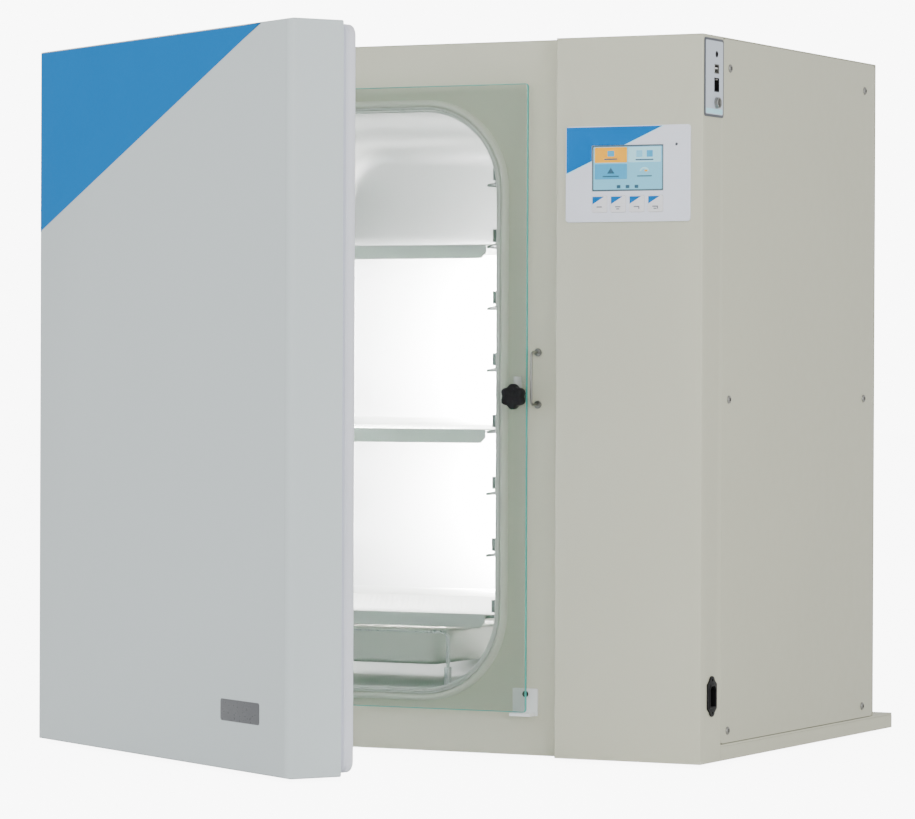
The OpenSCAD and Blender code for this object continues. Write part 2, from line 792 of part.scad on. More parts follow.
// a six-lobed star knob with its stem and shaft
module latch_knob() color(dark) on_feet() {
    star_back = glass_front - star_gap;
    star_front = star_back - star_t;
    lobe_r = lobe_share*knob_r;
    rod_y(latch_x, latch_z, star_front, star_back, core_share*knob_r);
    for (i = [0 : lobes - 1]) {
        a = 360*(i + 0.5)/lobes;
        rod_y(latch_x + (knob_r - lobe_r)*cos(a), latch_z + (knob_r - lobe_r)*sin(a), star_front, star_back,
            lobe_r);
    }
    rod_y(latch_x, latch_z, star_back, glass_front - tongue_t[0], stem_r);
    rod_y(latch_x, latch_z, glass_front - stem_lap, glass_back + shaft_end, latch_r);
}

// the latch plate behind the knob: it points up at rest and turns behind the keeper wire
module latch_tongue() color(stainless) on_feet() difference() {
    union() {
        block([latch_x - tongue_w/2, glass_front - tongue_t[0], latch_z],
            [latch_x + tongue_w/2, glass_front - tongue_t[1], latch_z + tongue_l]);
        rod_y(latch_x, latch_z, glass_front - tongue_t[0], glass_front - tongue_t[1], bush_flange[0]);
    }
    rod_y(latch_x, latch_z, glass_front - tongue_t[0] - cut, glass_front, latch_r);
}

// a bent rod bail on two round feet
module keeper_wire() color(stainless) on_feet() {
    translate([keeper_x, keeper_y, keeper_z[0]]) cylinder(r = keeper_r, h = keeper_z[1] - keeper_z[0]);
    for (i = [0, 1]) {
        z = keeper_z[i];
        translate([keeper_x, keeper_y, z]) sphere(r = keeper_r);
        rod_y(keeper_x, z, keeper_y, fascia_y, keeper_r);
        rod_y(keeper_x, z, fascia_y - keeper_foot[1], fascia_y, keeper_foot[0]);
    }
}

// a moulded block on the fascia with a lip just under the glass
module glass_rest_block() color("#eceeee") on_feet() difference() {
    union() {
        block([rest_x, fascia_y - rest_t, rest_z], [rest_x + rest_w, fascia_y, rest_z + rest_w]);
        block([rest_x + rest_lip_in, glass_front - rest_lip, rest_z],
            [rest_x + rest_w - rest_lip_in, fascia_y - rest_t + cut, rest_z + rest_lip]);
    }
    rod_y(rest_x + rest_screw[0], rest_z + rest_screw[1], fascia_y - rest_t - cut, fascia_y + cut, screw_r);
}

module rest_block_screw() color(dark) on_feet() {
    x = rest_x + rest_screw[0];
    z = rest_z + rest_screw[1];
    rod_y(x, z, fascia_y - rest_t, fascia_y, screw_r);
    rod_y(x, z, fascia_y - rest_t - rest_head[1], fascia_y - rest_t, rest_head[0]);
}

// ---- outer door -----------------------------------------------------------------------------

// the shell's plan: square at the back, round at the two front edges
module door_plan(inset, back) {
    r = door_edge_r - inset;
    x0 = door_x0 + inset;
    x1 = door_x1 - inset;
    y0 = door_front + inset;
    translate([x0, y0 + r]) square([x1 - x0, back - y0 - r]);
    translate([x0 + r, y0]) square([x1 - x0 - 2*r, r + cut]);
    for (x = [x0 + r, x1 - r]) translate([x, y0 + r]) circle(r);
}

module door_shell() color(door_paint) on_feet() door_at_rest() difference() {
    linear_extrude(body_h) door_plan(0, door_back);
    translate([0, 0, sheet]) linear_extrude(body_h - 2*sheet) door_plan(sheet, door_back + cut);
}

module door_recess_outline(grow) {
    round_box([recess_x0 - grow, recess_z0 - grow], [recess_x1 + grow, body_h - recess_z0 + grow],
        recess_r + grow);
}

// a slab behind the shell's face, and four bars between its edges and the recess
module door_insulation() color("#e9dfb8") on_feet() door_at_rest() {
    y0 = door_front + sheet + slack;
    y1 = door_back - door_recess - sheet - slack;
    y2 = door_back - sheet - slack;
    x0 = door_x0 + sheet + slack;
    x1 = door_x1 - sheet - slack;
    z0 = sheet + slack;
    z1 = body_h - sheet - slack;
    side = door_edge_r;
    in_x0 = recess_x0 - sheet - slack;
    in_x1 = recess_x1 + sheet + slack;
    in_z0 = recess_z0 - sheet - slack;
    in_z1 = body_h - in_z0;
    block([x0 + side, y0, z0], [x1 - side, y1, z1]);
    block([x0, y1 + slack, z0], [in_x0, y2, z1]);
    block([in_x1, y1 + slack, z0], [x1, y2, z1]);
    block([in_x0 + slack, y1 + slack, z0], [in_x1 - slack, y2, in_z0]);
    block([in_x0 + slack, y1 + slack, in_z1], [in_x1 - slack, y2, z1]);
}

module door_inner_panel() color("#dfe1e2") on_feet() door_at_rest() difference() {
    margin = sheet + slack;
    union() {
        block([door_x0 + margin, door_back - sheet, margin],
            [door_x1 - margin, door_back, body_h - margin]);
        along_y(door_back - door_recess - sheet, door_back) door_recess_outline(sheet);
    }
    along_y(door_back - door_recess, door_back + cut) door_recess_outline(0);
}

module door_gasket() color("#e3e4ea") on_feet() door_at_rest() {
    low = [door_x0 + strip_inset, strip_inset];
    high = [door_x1 - strip_inset, body_h - strip_inset];
    rim = [strip_w, strip_w];
    along_y(door_back, fascia_y - slack) difference() {
        round_box(low, high, strip_r[0]);
        round_box(low + rim, high - rim, strip_r[1]);
    }
}

module door_decal() color(blue) on_feet() door_at_rest() {
    x0 = door_x0 + door_edge_r;
    z1 = body_h - cut;
    along_y(door_front - decal_t, door_front)
        polygon([[x0, z1], [x0 + decal_w, z1], [x0, z1 - decal_h]]);
}

module door_nameplate() color(dark) on_feet() door_at_rest() {
    along_y(door_front - decal_t, door_front) translate([badge_x, badge_z])
        round_rect(badge_w, badge_h, badge_r);
}

// one hinge leaf: a plate on a side face and a bored knuckle round the pin
module leaf(z, y0, y1) {
    difference() {
        union() {
            block([x_left - leaf_t, y0, z], [x_left, y1, z + hinge_h/2 - slack]);
            translate([pin_x, pin_y, z]) cylinder(r = knuckle_r, h = hinge_h/2 - slack);
        }
        translate([pin_x, pin_y, z - cut]) cylinder(r = pin_r + fit, h = hinge_h);
    }
}

module outer_hinge_door_leaves() color(stainless) on_feet() door_at_rest() {
    for (z = hinge_zs) leaf(z + slack, pin_y - leaf_l, pin_y);
}

module outer_hinge_cabinet_leaves() color(stainless) on_feet() {
    for (z = hinge_zs) leaf(z - hinge_h/2, pin_y, pin_y + leaf_l);
}

module outer_hinge_pins() color(stainless) on_feet() {
    for (z = hinge_zs) {
        translate([pin_x, pin_y, z - hinge_h/2 + cut]) cylinder(r = pin_r, h = hinge_h);
        translate([pin_x, pin_y, z + hinge_h/2 + slack]) cylinder(r = pin_head[0], h = pin_head[1]);
    }
}

// ---- control column -------------------------------------------------------------------------

module key_outline(i, size) {
    translate([screen_x0 + key_size/2 + i*key_pitch + slack, keys_z]) round_rect(size, size, key_r);
}

module control_bezel() color("#d9d8e2") on_feet() difference() {
    along_y(y_front - bezel_t, y_front)
        round_box([bezel_x0, bezel_z0], [bezel_x0 + bezel_w, bezel_z0 + bezel_h], bezel_r);
    along_y(y_front - bezel_t - cut, y_front + cut) {
        translate([screen_x0 - hole_play, screen_z0 - hole_play])
            square([screen_w + 2*hole_play, screen_h + 2*hole_play]);
        for (i = [0 : 3]) key_outline(i, key_size + 2*slack);
    }
    rod_y(led_x, led_z, y_front - bezel_t - cut, y_front + cut, led_r + hole_play/2);
}

module display_screen() color("#4fb6d8") on_feet() {
    block([screen_x0, y_front - bezel_t + screen_sunk, screen_z0],
        [screen_x0 + screen_w, board_y, screen_z0 + screen_h]);
}

module key(i) on_feet() {
    along_y(y_front - bezel_t - key_proud, board_y - key_back) key_outline(i, key_size);
}

module key_1() color("#f2f3f5") key(0);

module key_2() color("#f2f3f5") key(1);

module key_3() color("#f2f3f5") key(2);

module key_4() color("#f2f3f5") key(3);

module display_board() color("#2f6b46") on_feet() {
    block([screen_x0 - board_margin[0], board_y, bezel_z0 + board_margin[2]],
        [led_x + board_margin[1], board_y + board_t, screen_z0 + screen_h + board_margin[3]]);
}

module status_led() color("#4b4f55") on_feet() {
    rod_y(led_x, led_z, y_front - bezel_t - led_proud, board_y, led_r);
}

module port_plate() color("#cfd9e2") on_feet() difference() {
    along_x(x_right, x_right + sheet) round_box([plate_y0, port_z0], [plate_y1, port_z1], plate_r);
    rod_x(port_y, jack_z, x_right - cut, x_right + sheet + cut, jack_r + hole_play);
    rod_x(port_y, round_z, x_right - cut, x_right + sheet + cut, round_r + hole_play);
    along_x(x_right - cut, x_right + sheet + cut) {
        translate([port_y, usb_z]) square(data_size + port_play, center = true);
        translate([port_y, network_z]) square(network_size + port_play, center = true);
    }
}

// four sockets behind the plate: a small jack, two square ones and a round one
module service_ports() color(dark) on_feet() {
    x0 = x_right - port_l;
    x1 = x_right + sheet + port_proud;
    difference() {
        union() {
            rod_x(port_y, jack_z, x0, x1, jack_r);
            along_x(x0, x1) translate([port_y, usb_z]) square(data_size, center = true);
            along_x(x0, x1) translate([port_y, network_z]) square(network_size, center = true);
            rod_x(port_y, round_z, x0, x1 + round_proud, round_r);
        }
        rod_x(port_y, jack_z, x1 - port_deep, x1 + cut, jack_bore_r);
        along_x(x1 - port_deep, x1 + cut) {
            translate([port_y, usb_z]) square(data_size - port_wall, center = true);
            translate([port_y, network_z]) square(network_size - network_wall, center = true);
        }
        rod_x(port_y, round_z, x1 - round_deep, x1 + round_proud + cut, round_bore_r);
    }
}

// a panel-mounting mains inlet with three blades
module power_inlet() color(dark) on_feet() {
    x1 = x_right + inlet_t;
    difference() {
        union() {
            along_x(x_right, x1) translate([inlet_y, inlet_z]) {
                square(inlet_flange, center = true);
                for (side = [-1, 1]) translate([0, side*inlet_flange[1]/2]) circle(ear_r);
            }
            along_x(x_right - inlet_l, x_right) translate([inlet_y, inlet_z])
                square(socket_size + socket_wall, center = true);
        }
        along_x(x1 - socket_d, x1 + cut) translate([inlet_y, inlet_z]) square(socket_size, center = true);
        for (side = [-1, 1])
            rod_x(inlet_y, inlet_z + side*inlet_hole[0], x_right - cut, x1 + cut, inlet_hole[1]);
    }
    for (k = blade_set) translate([x1 - socket_d - blade_root, inlet_y + k[0] - blade[1]/2,
        inlet_z + k[1] - blade[2]/2]) cube([blade[0] + blade_root, blade[1], blade[2]]);
}

// a block on the circuit board's face, from its two corners and its height
module component(face, part) {
    block([face, part[0][0], part[0][1]], [face + part[2], part[1][0], part[1][1]]);
}

// circuit board on posts, with a power supply, a gas valve and a few large components
module main_board() color("#2f6b46") on_feet() {
    x0 = column_x + sheet;
    board_x = x0 + post_l;
    face = board_x + board_t/2;
    for (y = post_ys, z = post_zs) rod_x(y, z, x0, board_x, post_r);
    block([board_x, post_ys[0] - post_in, post_zs[0] - post_in],
        [board_x + board_t, post_ys[1] + post_in, post_zs[1] + post_in]);
    component(face, supply);
    component(face, valve);
    for (up = relay_ups) translate([0, 0, up]) component(face, relay);
}

module gas_inlet() color("#b9a36a") on_feet() {
    y0 = y_back + gas_nut[1];
    rod_y(gas_x, gas_z, y_back - gas_inside, y_back, gas_r);
    rod_y(gas_x, gas_z, y_back, y0, gas_nut[0]);
    rod_y(gas_x, gas_z, y0, y0 + gas_spigot[1], gas_spigot[0]);
    for (y = [y0 + gas_spigot[0], y0 + gas_spigot[0] + gas_barb[2]])
        rod_y(gas_x, gas_z, y, y + gas_barb[1], gas_barb[0]);
}

// ---- output ---------------------------------------------------------------------------------

feet();
base_plate();
base_rails();
left_panel();
top_panel();
rear_panel();
rear_panel_screws();
front_fascia();
divider_panel();
column_cover();
side_cover();
side_cover_screws();
insulation_panels();
heater_mats();
chamber_liner();
chamber_gasket();
left_runners();
right_runners();
runner_uprights();
lower_shelf();
middle_shelf();
upper_shelf();
water_pan();
pan_stand();
fan_motor();
fan_shaft();
fan_impeller();
fan_guard();
co2_sensor();
glass_pane();
glass_hinge_clamps();
glass_hinge_brackets();
latch_bush();
latch_knob();
latch_tongue();
keeper_wire();
glass_rest_block();
rest_block_screw();
door_shell();
door_insulation();
door_inner_panel();
door_gasket();
door_decal();
door_nameplate();
outer_hinge_door_leaves();
outer_hinge_cabinet_leaves();
outer_hinge_pins();
control_bezel();
display_screen();
key_1();
key_2();
key_3();
key_4();
display_board();
status_led();
port_plate();
service_ports();
power_inlet();
main_board();
gas_inlet();
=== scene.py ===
"""Looks of a bench-top laboratory incubator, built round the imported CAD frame.

Lengths are in metres and places come from the frame. Pieces of the outer door are made as if the door
were shut and are then swung to where it stands at rest.
"""
import json
import math

import bmesh
import bpy
from mathutils import Matrix, Vector

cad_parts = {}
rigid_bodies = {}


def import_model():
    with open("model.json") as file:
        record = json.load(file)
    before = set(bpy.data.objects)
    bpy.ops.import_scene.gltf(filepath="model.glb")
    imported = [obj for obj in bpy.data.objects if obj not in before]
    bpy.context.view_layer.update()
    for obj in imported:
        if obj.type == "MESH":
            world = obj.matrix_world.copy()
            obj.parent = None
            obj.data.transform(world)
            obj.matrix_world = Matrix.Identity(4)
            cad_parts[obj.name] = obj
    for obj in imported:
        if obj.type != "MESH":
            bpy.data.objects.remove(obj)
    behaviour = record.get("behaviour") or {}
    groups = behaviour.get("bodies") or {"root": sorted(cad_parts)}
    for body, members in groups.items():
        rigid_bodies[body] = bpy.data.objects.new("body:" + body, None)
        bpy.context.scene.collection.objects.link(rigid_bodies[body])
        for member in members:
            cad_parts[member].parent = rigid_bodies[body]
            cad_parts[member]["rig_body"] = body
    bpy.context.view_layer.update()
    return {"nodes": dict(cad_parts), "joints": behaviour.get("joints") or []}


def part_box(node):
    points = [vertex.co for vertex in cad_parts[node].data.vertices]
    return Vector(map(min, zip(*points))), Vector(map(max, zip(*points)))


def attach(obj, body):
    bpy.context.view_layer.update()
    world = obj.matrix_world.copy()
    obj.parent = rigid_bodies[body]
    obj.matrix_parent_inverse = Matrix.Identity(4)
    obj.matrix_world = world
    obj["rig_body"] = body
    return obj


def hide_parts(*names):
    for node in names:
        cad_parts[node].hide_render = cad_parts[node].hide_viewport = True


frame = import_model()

MM = 0.001
JOINTS = {j["name"]: j for j in frame["joints"]}
NODES = frame["nodes"]


# ---- places worked out from the frame --------------------------------------------------------

def box_in(node, matrix):
    """A node's lowest and highest corners in the space that matrix leads out of."""
    points = [matrix.inverted() @ v.co for v in NODES[node].data.vertices]
    low = Vector([min(p[k] for p in points) for k in range(3)])
    high = Vector([max(p[k] for p in points) for k in range(3)])
    return low, high


STILL = Matrix.Identity(4)
DOOR_PIN = Vector(JOINTS["outer_door_swing"]["pos_m"])
DOOR_REST = math.radians(JOINTS["outer_door_swing"]["range_deg"][0])
DOOR = (Matrix.Translation(DOOR_PIN) @ Matrix.Rotation(DOOR_REST, 4, "Z")
        @ Matrix.Translation(-DOOR_PIN))

FASCIA, FASCIA_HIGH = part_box("front_fascia")
COLUMN, COLUMN_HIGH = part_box("column_cover")
LINER, LINER_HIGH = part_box("chamber_liner")
SHELL, SHELL_HIGH = box_in("door_shell", DOOR)
GLASS, GLASS_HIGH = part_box("glass_pane")
BEZEL, BEZEL_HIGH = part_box("control_bezel")
SCREEN, SCREEN_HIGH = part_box("display_screen")

LINER_T = 1.5 * MM
CORNER_R = 100 * MM
CHAMBER_X = (LINER.x + LINER_HIGH.x) / 2
CHAMBER_Z = (LINER.z + LINER_HIGH.z) / 2
CHAMBER_W = LINER_HIGH.x - LINER.x - 2 * LINER_T
CHAMBER_H = LINER_HIGH.z - LINER.z - 2 * LINER_T
CHAMBER_BACK = LINER_HIGH.y - LINER_T


# ---- materials -------------------------------------------------------------------------------

class Finish:
    """A Principled material with the few node chains that the finishes below share."""

    def __init__(self, name, color, rough, metallic=0.0, **sockets):
        self.mat = bpy.data.materials.new(name)
        self.mat.use_nodes = True
        self.nodes = self.mat.node_tree.nodes
        self.links = self.mat.node_tree.links
        self.bsdf = self.nodes["Principled BSDF"]
        self.color = color
        self.bsdf.inputs["Base Color"].default_value = (*color, 1)
        self.bsdf.inputs["Roughness"].default_value = rough
        self.bsdf.inputs["Metallic"].default_value = metallic
        for socket, value in sockets.items():
            self.bsdf.inputs[socket.replace("_", " ")].default_value = value
        self.height = None
        self.last_color = None

    def node(self, kind, **values):
        """A shader node with its sockets set."""
        made = self.nodes.new("ShaderNode" + kind)
        for socket, value in values.items():
            made.inputs[socket.replace("_", " ")].default_value = value
        return made

    def noise(self, scale, detail=2.0, stretch=(1, 1, 1), rough=0.5):
        place = self.node("TexCoord")
        mapping = self.node("Mapping", Scale=stretch)
        noise = self.node("TexNoise", Scale=scale, Detail=detail, Roughness=rough)
        self.links.new(place.outputs["Object"], mapping.inputs["Vector"])
        self.links.new(mapping.outputs["Vector"], noise.inputs["Vector"])
        return noise.outputs["Fac"]

    def remap(self, value, low, high, from_low=0.3, from_high=0.7):
        node = self.node("MapRange", From_Min=from_low, From_Max=from_high, To_Min=low, To_Max=high)
        self.links.new(value, node.inputs["Value"])
        return node.outputs["Result"]

    def tint(self, factor, color):
        """Mixes another colour over what is there, where factor is high."""
        mix = self.node("Mix")
        mix.data_type = "RGBA"
        if self.last_color is None:
            mix.inputs[6].default_value = (*self.color, 1)
        else:
            self.links.new(self.last_color, mix.inputs[6])
        mix.inputs[7].default_value = (*color, 1)
        self.links.new(factor, mix.inputs[0])
        self.last_color = mix.outputs[2]
        self.links.new(self.last_color, self.bsdf.inputs["Base Color"])
        return self

    def bump(self, value, depth, strength=1.0):
        node = self.node("Bump", Strength=strength, Distance=depth)
        self.links.new(value, node.inputs["Height"])
        if self.height is not None:
            self.links.new(self.height, node.inputs["Normal"])
        self.height = node.outputs["Normal"]
        self.links.new(self.height, self.bsdf.inputs["Normal"])
        return self

    def roughness(self, value, low, high):
        self.links.new(self.remap(value, low, high), self.bsdf.inputs["Roughness"])
        return self

    def edges(self, color, strength=0.5):
        """Brighter edges, from how sharply the surface turns: a painted edge highlight."""
        geometry = self.node("NewGeometry")
        flat, sharp = 0.52, 0.62
        factor = self.remap(geometry.outputs["Pointiness"], 0, strength, flat, sharp)
        return self.tint(factor, color)


def shade(color, k):
    """A colour made darker or lighter."""
    return tuple(min(1.0, c * k) for c in color)


def powder_coat(name, color, rough=0.45):
    """Sprayed and baked paint: a fine orange peel, faint clouds and slightly brighter edges, which are a
    painted highlight.
    """
    finish = Finish(name, color, rough, Specular_IOR_Level=0.45)
    finish.tint(finish.remap(finish.noise(5, 3), 0, 0.35), shade(color, 0.95))
    finish.tint(finish.remap(finish.noise(900, 1), 0, 0.25), shade(color, 1.06))
    # painted highlight along sharp edges
    finish.edges(shade(color, 1.12))
    finish.roughness(finish.noise(60, 2), rough - 0.05, rough + 0.07)
    finish.bump(finish.noise(700, 2), 0.00012, 0.35)
    return finish.mat


def brushed_metal(name, color, rough=0.3, along="x", depth=0.00003, grain=1.0):
    """Rolled or brushed metal with its grain along one axis; grain is how strongly it shows."""
    stretch = {"x": (0.02, 1, 1), "y": (1, 0.02, 1), "z": (1, 1, 0.02)}[along]
    finish = Finish(name, color, rough, metallic=1.0)
    finish.tint(finish.remap(finish.noise(700, 3, stretch), 0, 0.5 * grain), shade(color, 0.9))
    finish.tint(finish.remap(finish.noise(7, 3), 0, 0.3), shade(color, 0.94))
    finish.roughness(finish.noise(500, 3, stretch), rough - 0.08 * grain, rough + 0.12 * grain)
    finish.bump(finish.noise(900, 2, stretch), depth, 0.5 * grain)
    return finish.mat


def moulded(name, color, rough=0.5, grain=0.00005, scale=1400, **sockets):
    """Moulded plastic or rubber with a fine spark-eroded grain."""
    finish = Finish(name, color, rough, **sockets)
    finish.tint(finish.remap(finish.noise(20, 3), 0, 0.4), shade(color, 0.9))
    # painted highlight along sharp edges
    finish.edges(shade(color, 1.3), 0.4)
    finish.roughness(finish.noise(90, 2), max(0.03, rough - 0.06), rough + 0.08)
    finish.bump(finish.noise(scale, 2), grain, 0.5)
    return finish.mat


def film(name, color, rough=0.35, **sockets):
    """Printed film with a faint grain."""
    finish = Finish(name, color, rough, **sockets)
    finish.tint(finish.remap(finish.noise(12, 2), 0, 0.5), shade(color, 0.95))
    finish.roughness(finish.noise(200, 2), rough - 0.04, rough + 0.05)
    finish.bump(finish.noise(1500, 1), 0.00002, 0.4)
    return finish.mat


def wool(name, color):
    """Matted mineral wool."""
    finish = Finish(name, color, 0.9)
    finish.tint(finish.remap(finish.noise(120, 6, rough=0.7), 0, 0.8), shade(color, 0.7))
    finish.bump(finish.noise(300, 6, rough=0.7), 0.0012, 0.8)
    return finish.mat


def glass(name, color, alpha, rough=0.02):
    """Clear or tinted glass, seen through by its alpha."""
    finish = Finish(name, color, rough, Alpha=alpha, IOR=1.5)
    finish.roughness(finish.noise(30, 2), rough, rough + 0.03)
    finish.bump(finish.noise(4, 1), 0.0002, 0.1)
    return finish.mat


def lit(name, color, strength):
    """A lit patch of a display."""
    finish = Finish(name, color, 0.3, Emission_Color=(*color, 1), Emission_Strength=strength)
    finish.tint(finish.remap(finish.noise(2500, 0), 0, 0.2), shade(color, 0.9))
    return finish.mat


PAINT = powder_coat("cabinet_powder_coat", (0.60, 0.602, 0.470))
DOOR_PAINT = powder_coat("door_powder_coat", (0.65, 0.725, 0.735))
INNER_PAINT = powder_coat("door_lining_paint", (0.80, 0.82, 0.90), 0.4)
DOOR_BLUE = film("door_blue_film", (0.0, 0.200, 0.58), 0.5, Specular_IOR_Level=0.05)
STEEL = brushed_metal("chamber_steel", (0.90, 0.90, 0.90), 0.42, "z", 0.00001, 0.2)
SHELF_STEEL = brushed_metal("shelf_steel", (0.84, 0.84, 0.82), 0.38, "x", 0.00001, 0.4)
# Runners and uprights are the same stainless as the chamber: their near-black colour is painted shade and
# painted dark reflection.
SHADED_RUNNER_STEEL = brushed_metal("runner_steel_painted_shade", (0.17, 0.175, 0.185), 0.36, "y", 0.00001, 0.4)
PAN_STEEL = brushed_metal("pan_steel", (0.80, 0.80, 0.74), 0.36, "x", 0.000005, 0.1)
TRIM_WHITE = moulded("trim_lips", (0.93, 0.93, 0.91), 0.3)
KEEPER_STEEL = brushed_metal("keeper_steel", (0.26, 0.26, 0.24), 0.3, "z", 0.00001, 0.3)
TONGUE_STEEL = brushed_metal("tongue_steel", (0.40, 0.42, 0.38), 0.45, "z", 0.00001, 0.3)
ROD_STEEL = brushed_metal("rod_steel", (0.72, 0.73, 0.74), 0.25, "z", 0.00001)
HINGE_STEEL = brushed_metal("hinge_steel", (0.66, 0.67, 0.68), 0.33, "z")
# Grey steel, made darker than the screws are to stand for the shade in their cross recesses: partly painted
# shade.
SCREW_STEEL = brushed_metal("screw_steel", (0.34, 0.34, 0.32), 0.38, "x", 0.00001)
BRASS = brushed_metal("brass", (0.80, 0.62, 0.30), 0.3, "y", 0.00001)
BEAD_RUBBER = moulded("bead_rubber", (0.86, 0.84, 0.74), 0.5)
SEAL_RUBBER = moulded("door_seal_rubber", (0.84, 0.86, 0.95), 0.5)
FOOT_RUBBER = moulded("foot_rubber", (0.035, 0.035, 0.038), 0.8, 0.0002, 700)
KNOB_BLACK = moulded("knob_plastic", (0.006, 0.006, 0.007), 0.5, 0.00008, 1100,
                     Specular_IOR_Level=0.2)
SOCKET_BLACK = moulded("socket_plastic", (0.006, 0.006, 0.007), 0.5, Specular_IOR_Level=0.25)
WHITE_PLASTIC = moulded("white_plastic", (0.88, 0.90, 0.90), 0.4)
KEY_PLASTIC = moulded("key_plastic", (0.90, 0.90, 0.93), 0.35)
BEZEL_FILM = film("bezel_film", (0.87, 0.90, 1.0), 0.36)
PANEL_BLUE = film("panel_blue_film", (0.0, 0.170, 0.52), 0.5, Specular_IOR_Level=0.05)
PLATE_FILM = film("port_plate_film", (0.62, 0.69, 0.78), 0.35)
OUTLINE = film("dark_outline_film", (0.09, 0.10, 0.12), 0.4)
NAME_FILM = film("nameplate_film", (0.12, 0.125, 0.135), 0.3)
BOARD_GREEN = film("circuit_board", (0.02, 0.13, 0.06), 0.4)
HEATER_FILM = film("heater_mat", (0.42, 0.13, 0.05), 0.5)
WOOL = wool("insulation_wool", (0.62, 0.53, 0.28))
GLASS_FACE = glass("tempered_glass", (0.14, 0.27, 0.17), 0.20)
GLASS_EDGE = glass("glass_edge", (0.03, 0.40, 0.34), 0.95, 0.2)
LENS = glass("indicator_lens", (0.10, 0.11, 0.13), 0.95, 0.1)
SCREEN_GLASS = film("screen_surround", (0.10, 0.16, 0.20), 0.12)
LCD_BACK = lit("screen_back", (0.20, 0.58, 0.76), 0.22)
LCD_BLUE = lit("screen_blue", (0.04, 0.36, 0.62), 0.22)
# Glows pale on the display's tiles, and on the printed lines of the bezel and the port plate, where the glow
# is painted light.
PALE_GLOW = lit("pale_glow", (0.40, 0.76, 0.88), 0.25)
LCD_AMBER = lit("screen_amber", (0.98, 0.43, 0.0), 0.2)
LCD_INK = film("screen_ink", (0.03, 0.12, 0.20), 0.3)
GLYPH_INK = film("key_ink", (0.20, 0.20, 0.24), 0.4)


# ---- shapes ----------------------------------------------------------------------------------

def mm(points):
    """Points given in millimetres, as metres."""
    return [tuple(a * MM for a in p) for p in points]


def round_rect(w, h, r, per_corner=8):
    """Points round a rectangle with round corners, about its middle."""
    r = max(r, 0.02 * MM)
    points = []
    for k, (sx, sy) in enumerate(((1, 1), (-1, 1), (-1, -1), (1, -1))):
        for i in range(per_corner + 1):
            a = math.radians(90 * k + 90 * i / per_corner)
            points.append((sx * (w / 2 - r) + r * math.cos(a), sy * (h / 2 - r) + r * math.sin(a)))
    return points


def facing_y(x, z):
    """Puts an outline's u, v and depth on X, Z and Y about a middle."""
    return lambda u, v, d: (x + u, d, z + v)


def facing_x(y, z):
    return lambda u, v, d: (d, y + u, z + v)


def facing_z(x, y):
    return lambda u, v, d: (x + u, y + v, d)


def rounded_edge(front, back, b, steps=4):
    """(growth, depth) stations of a plate whose front edges are rounded with radius b."""
    way = 1 if back > front else -1
    turn = [math.pi / 2 * i / steps for i in range(steps + 1)]
    return [(-b + b * math.sin(t), front + way * b * (1 - math.cos(t))) for t in turn] + [(0, back)]


def link(obj):
    bpy.context.scene.collection.objects.link(obj)


def to_object(bm, name):
    """A new object that holds a finished mesh."""
    mesh = bpy.data.meshes.new(name)
    bm.to_mesh(mesh)
    bm.free()
    return bpy.data.objects.new(name, mesh)


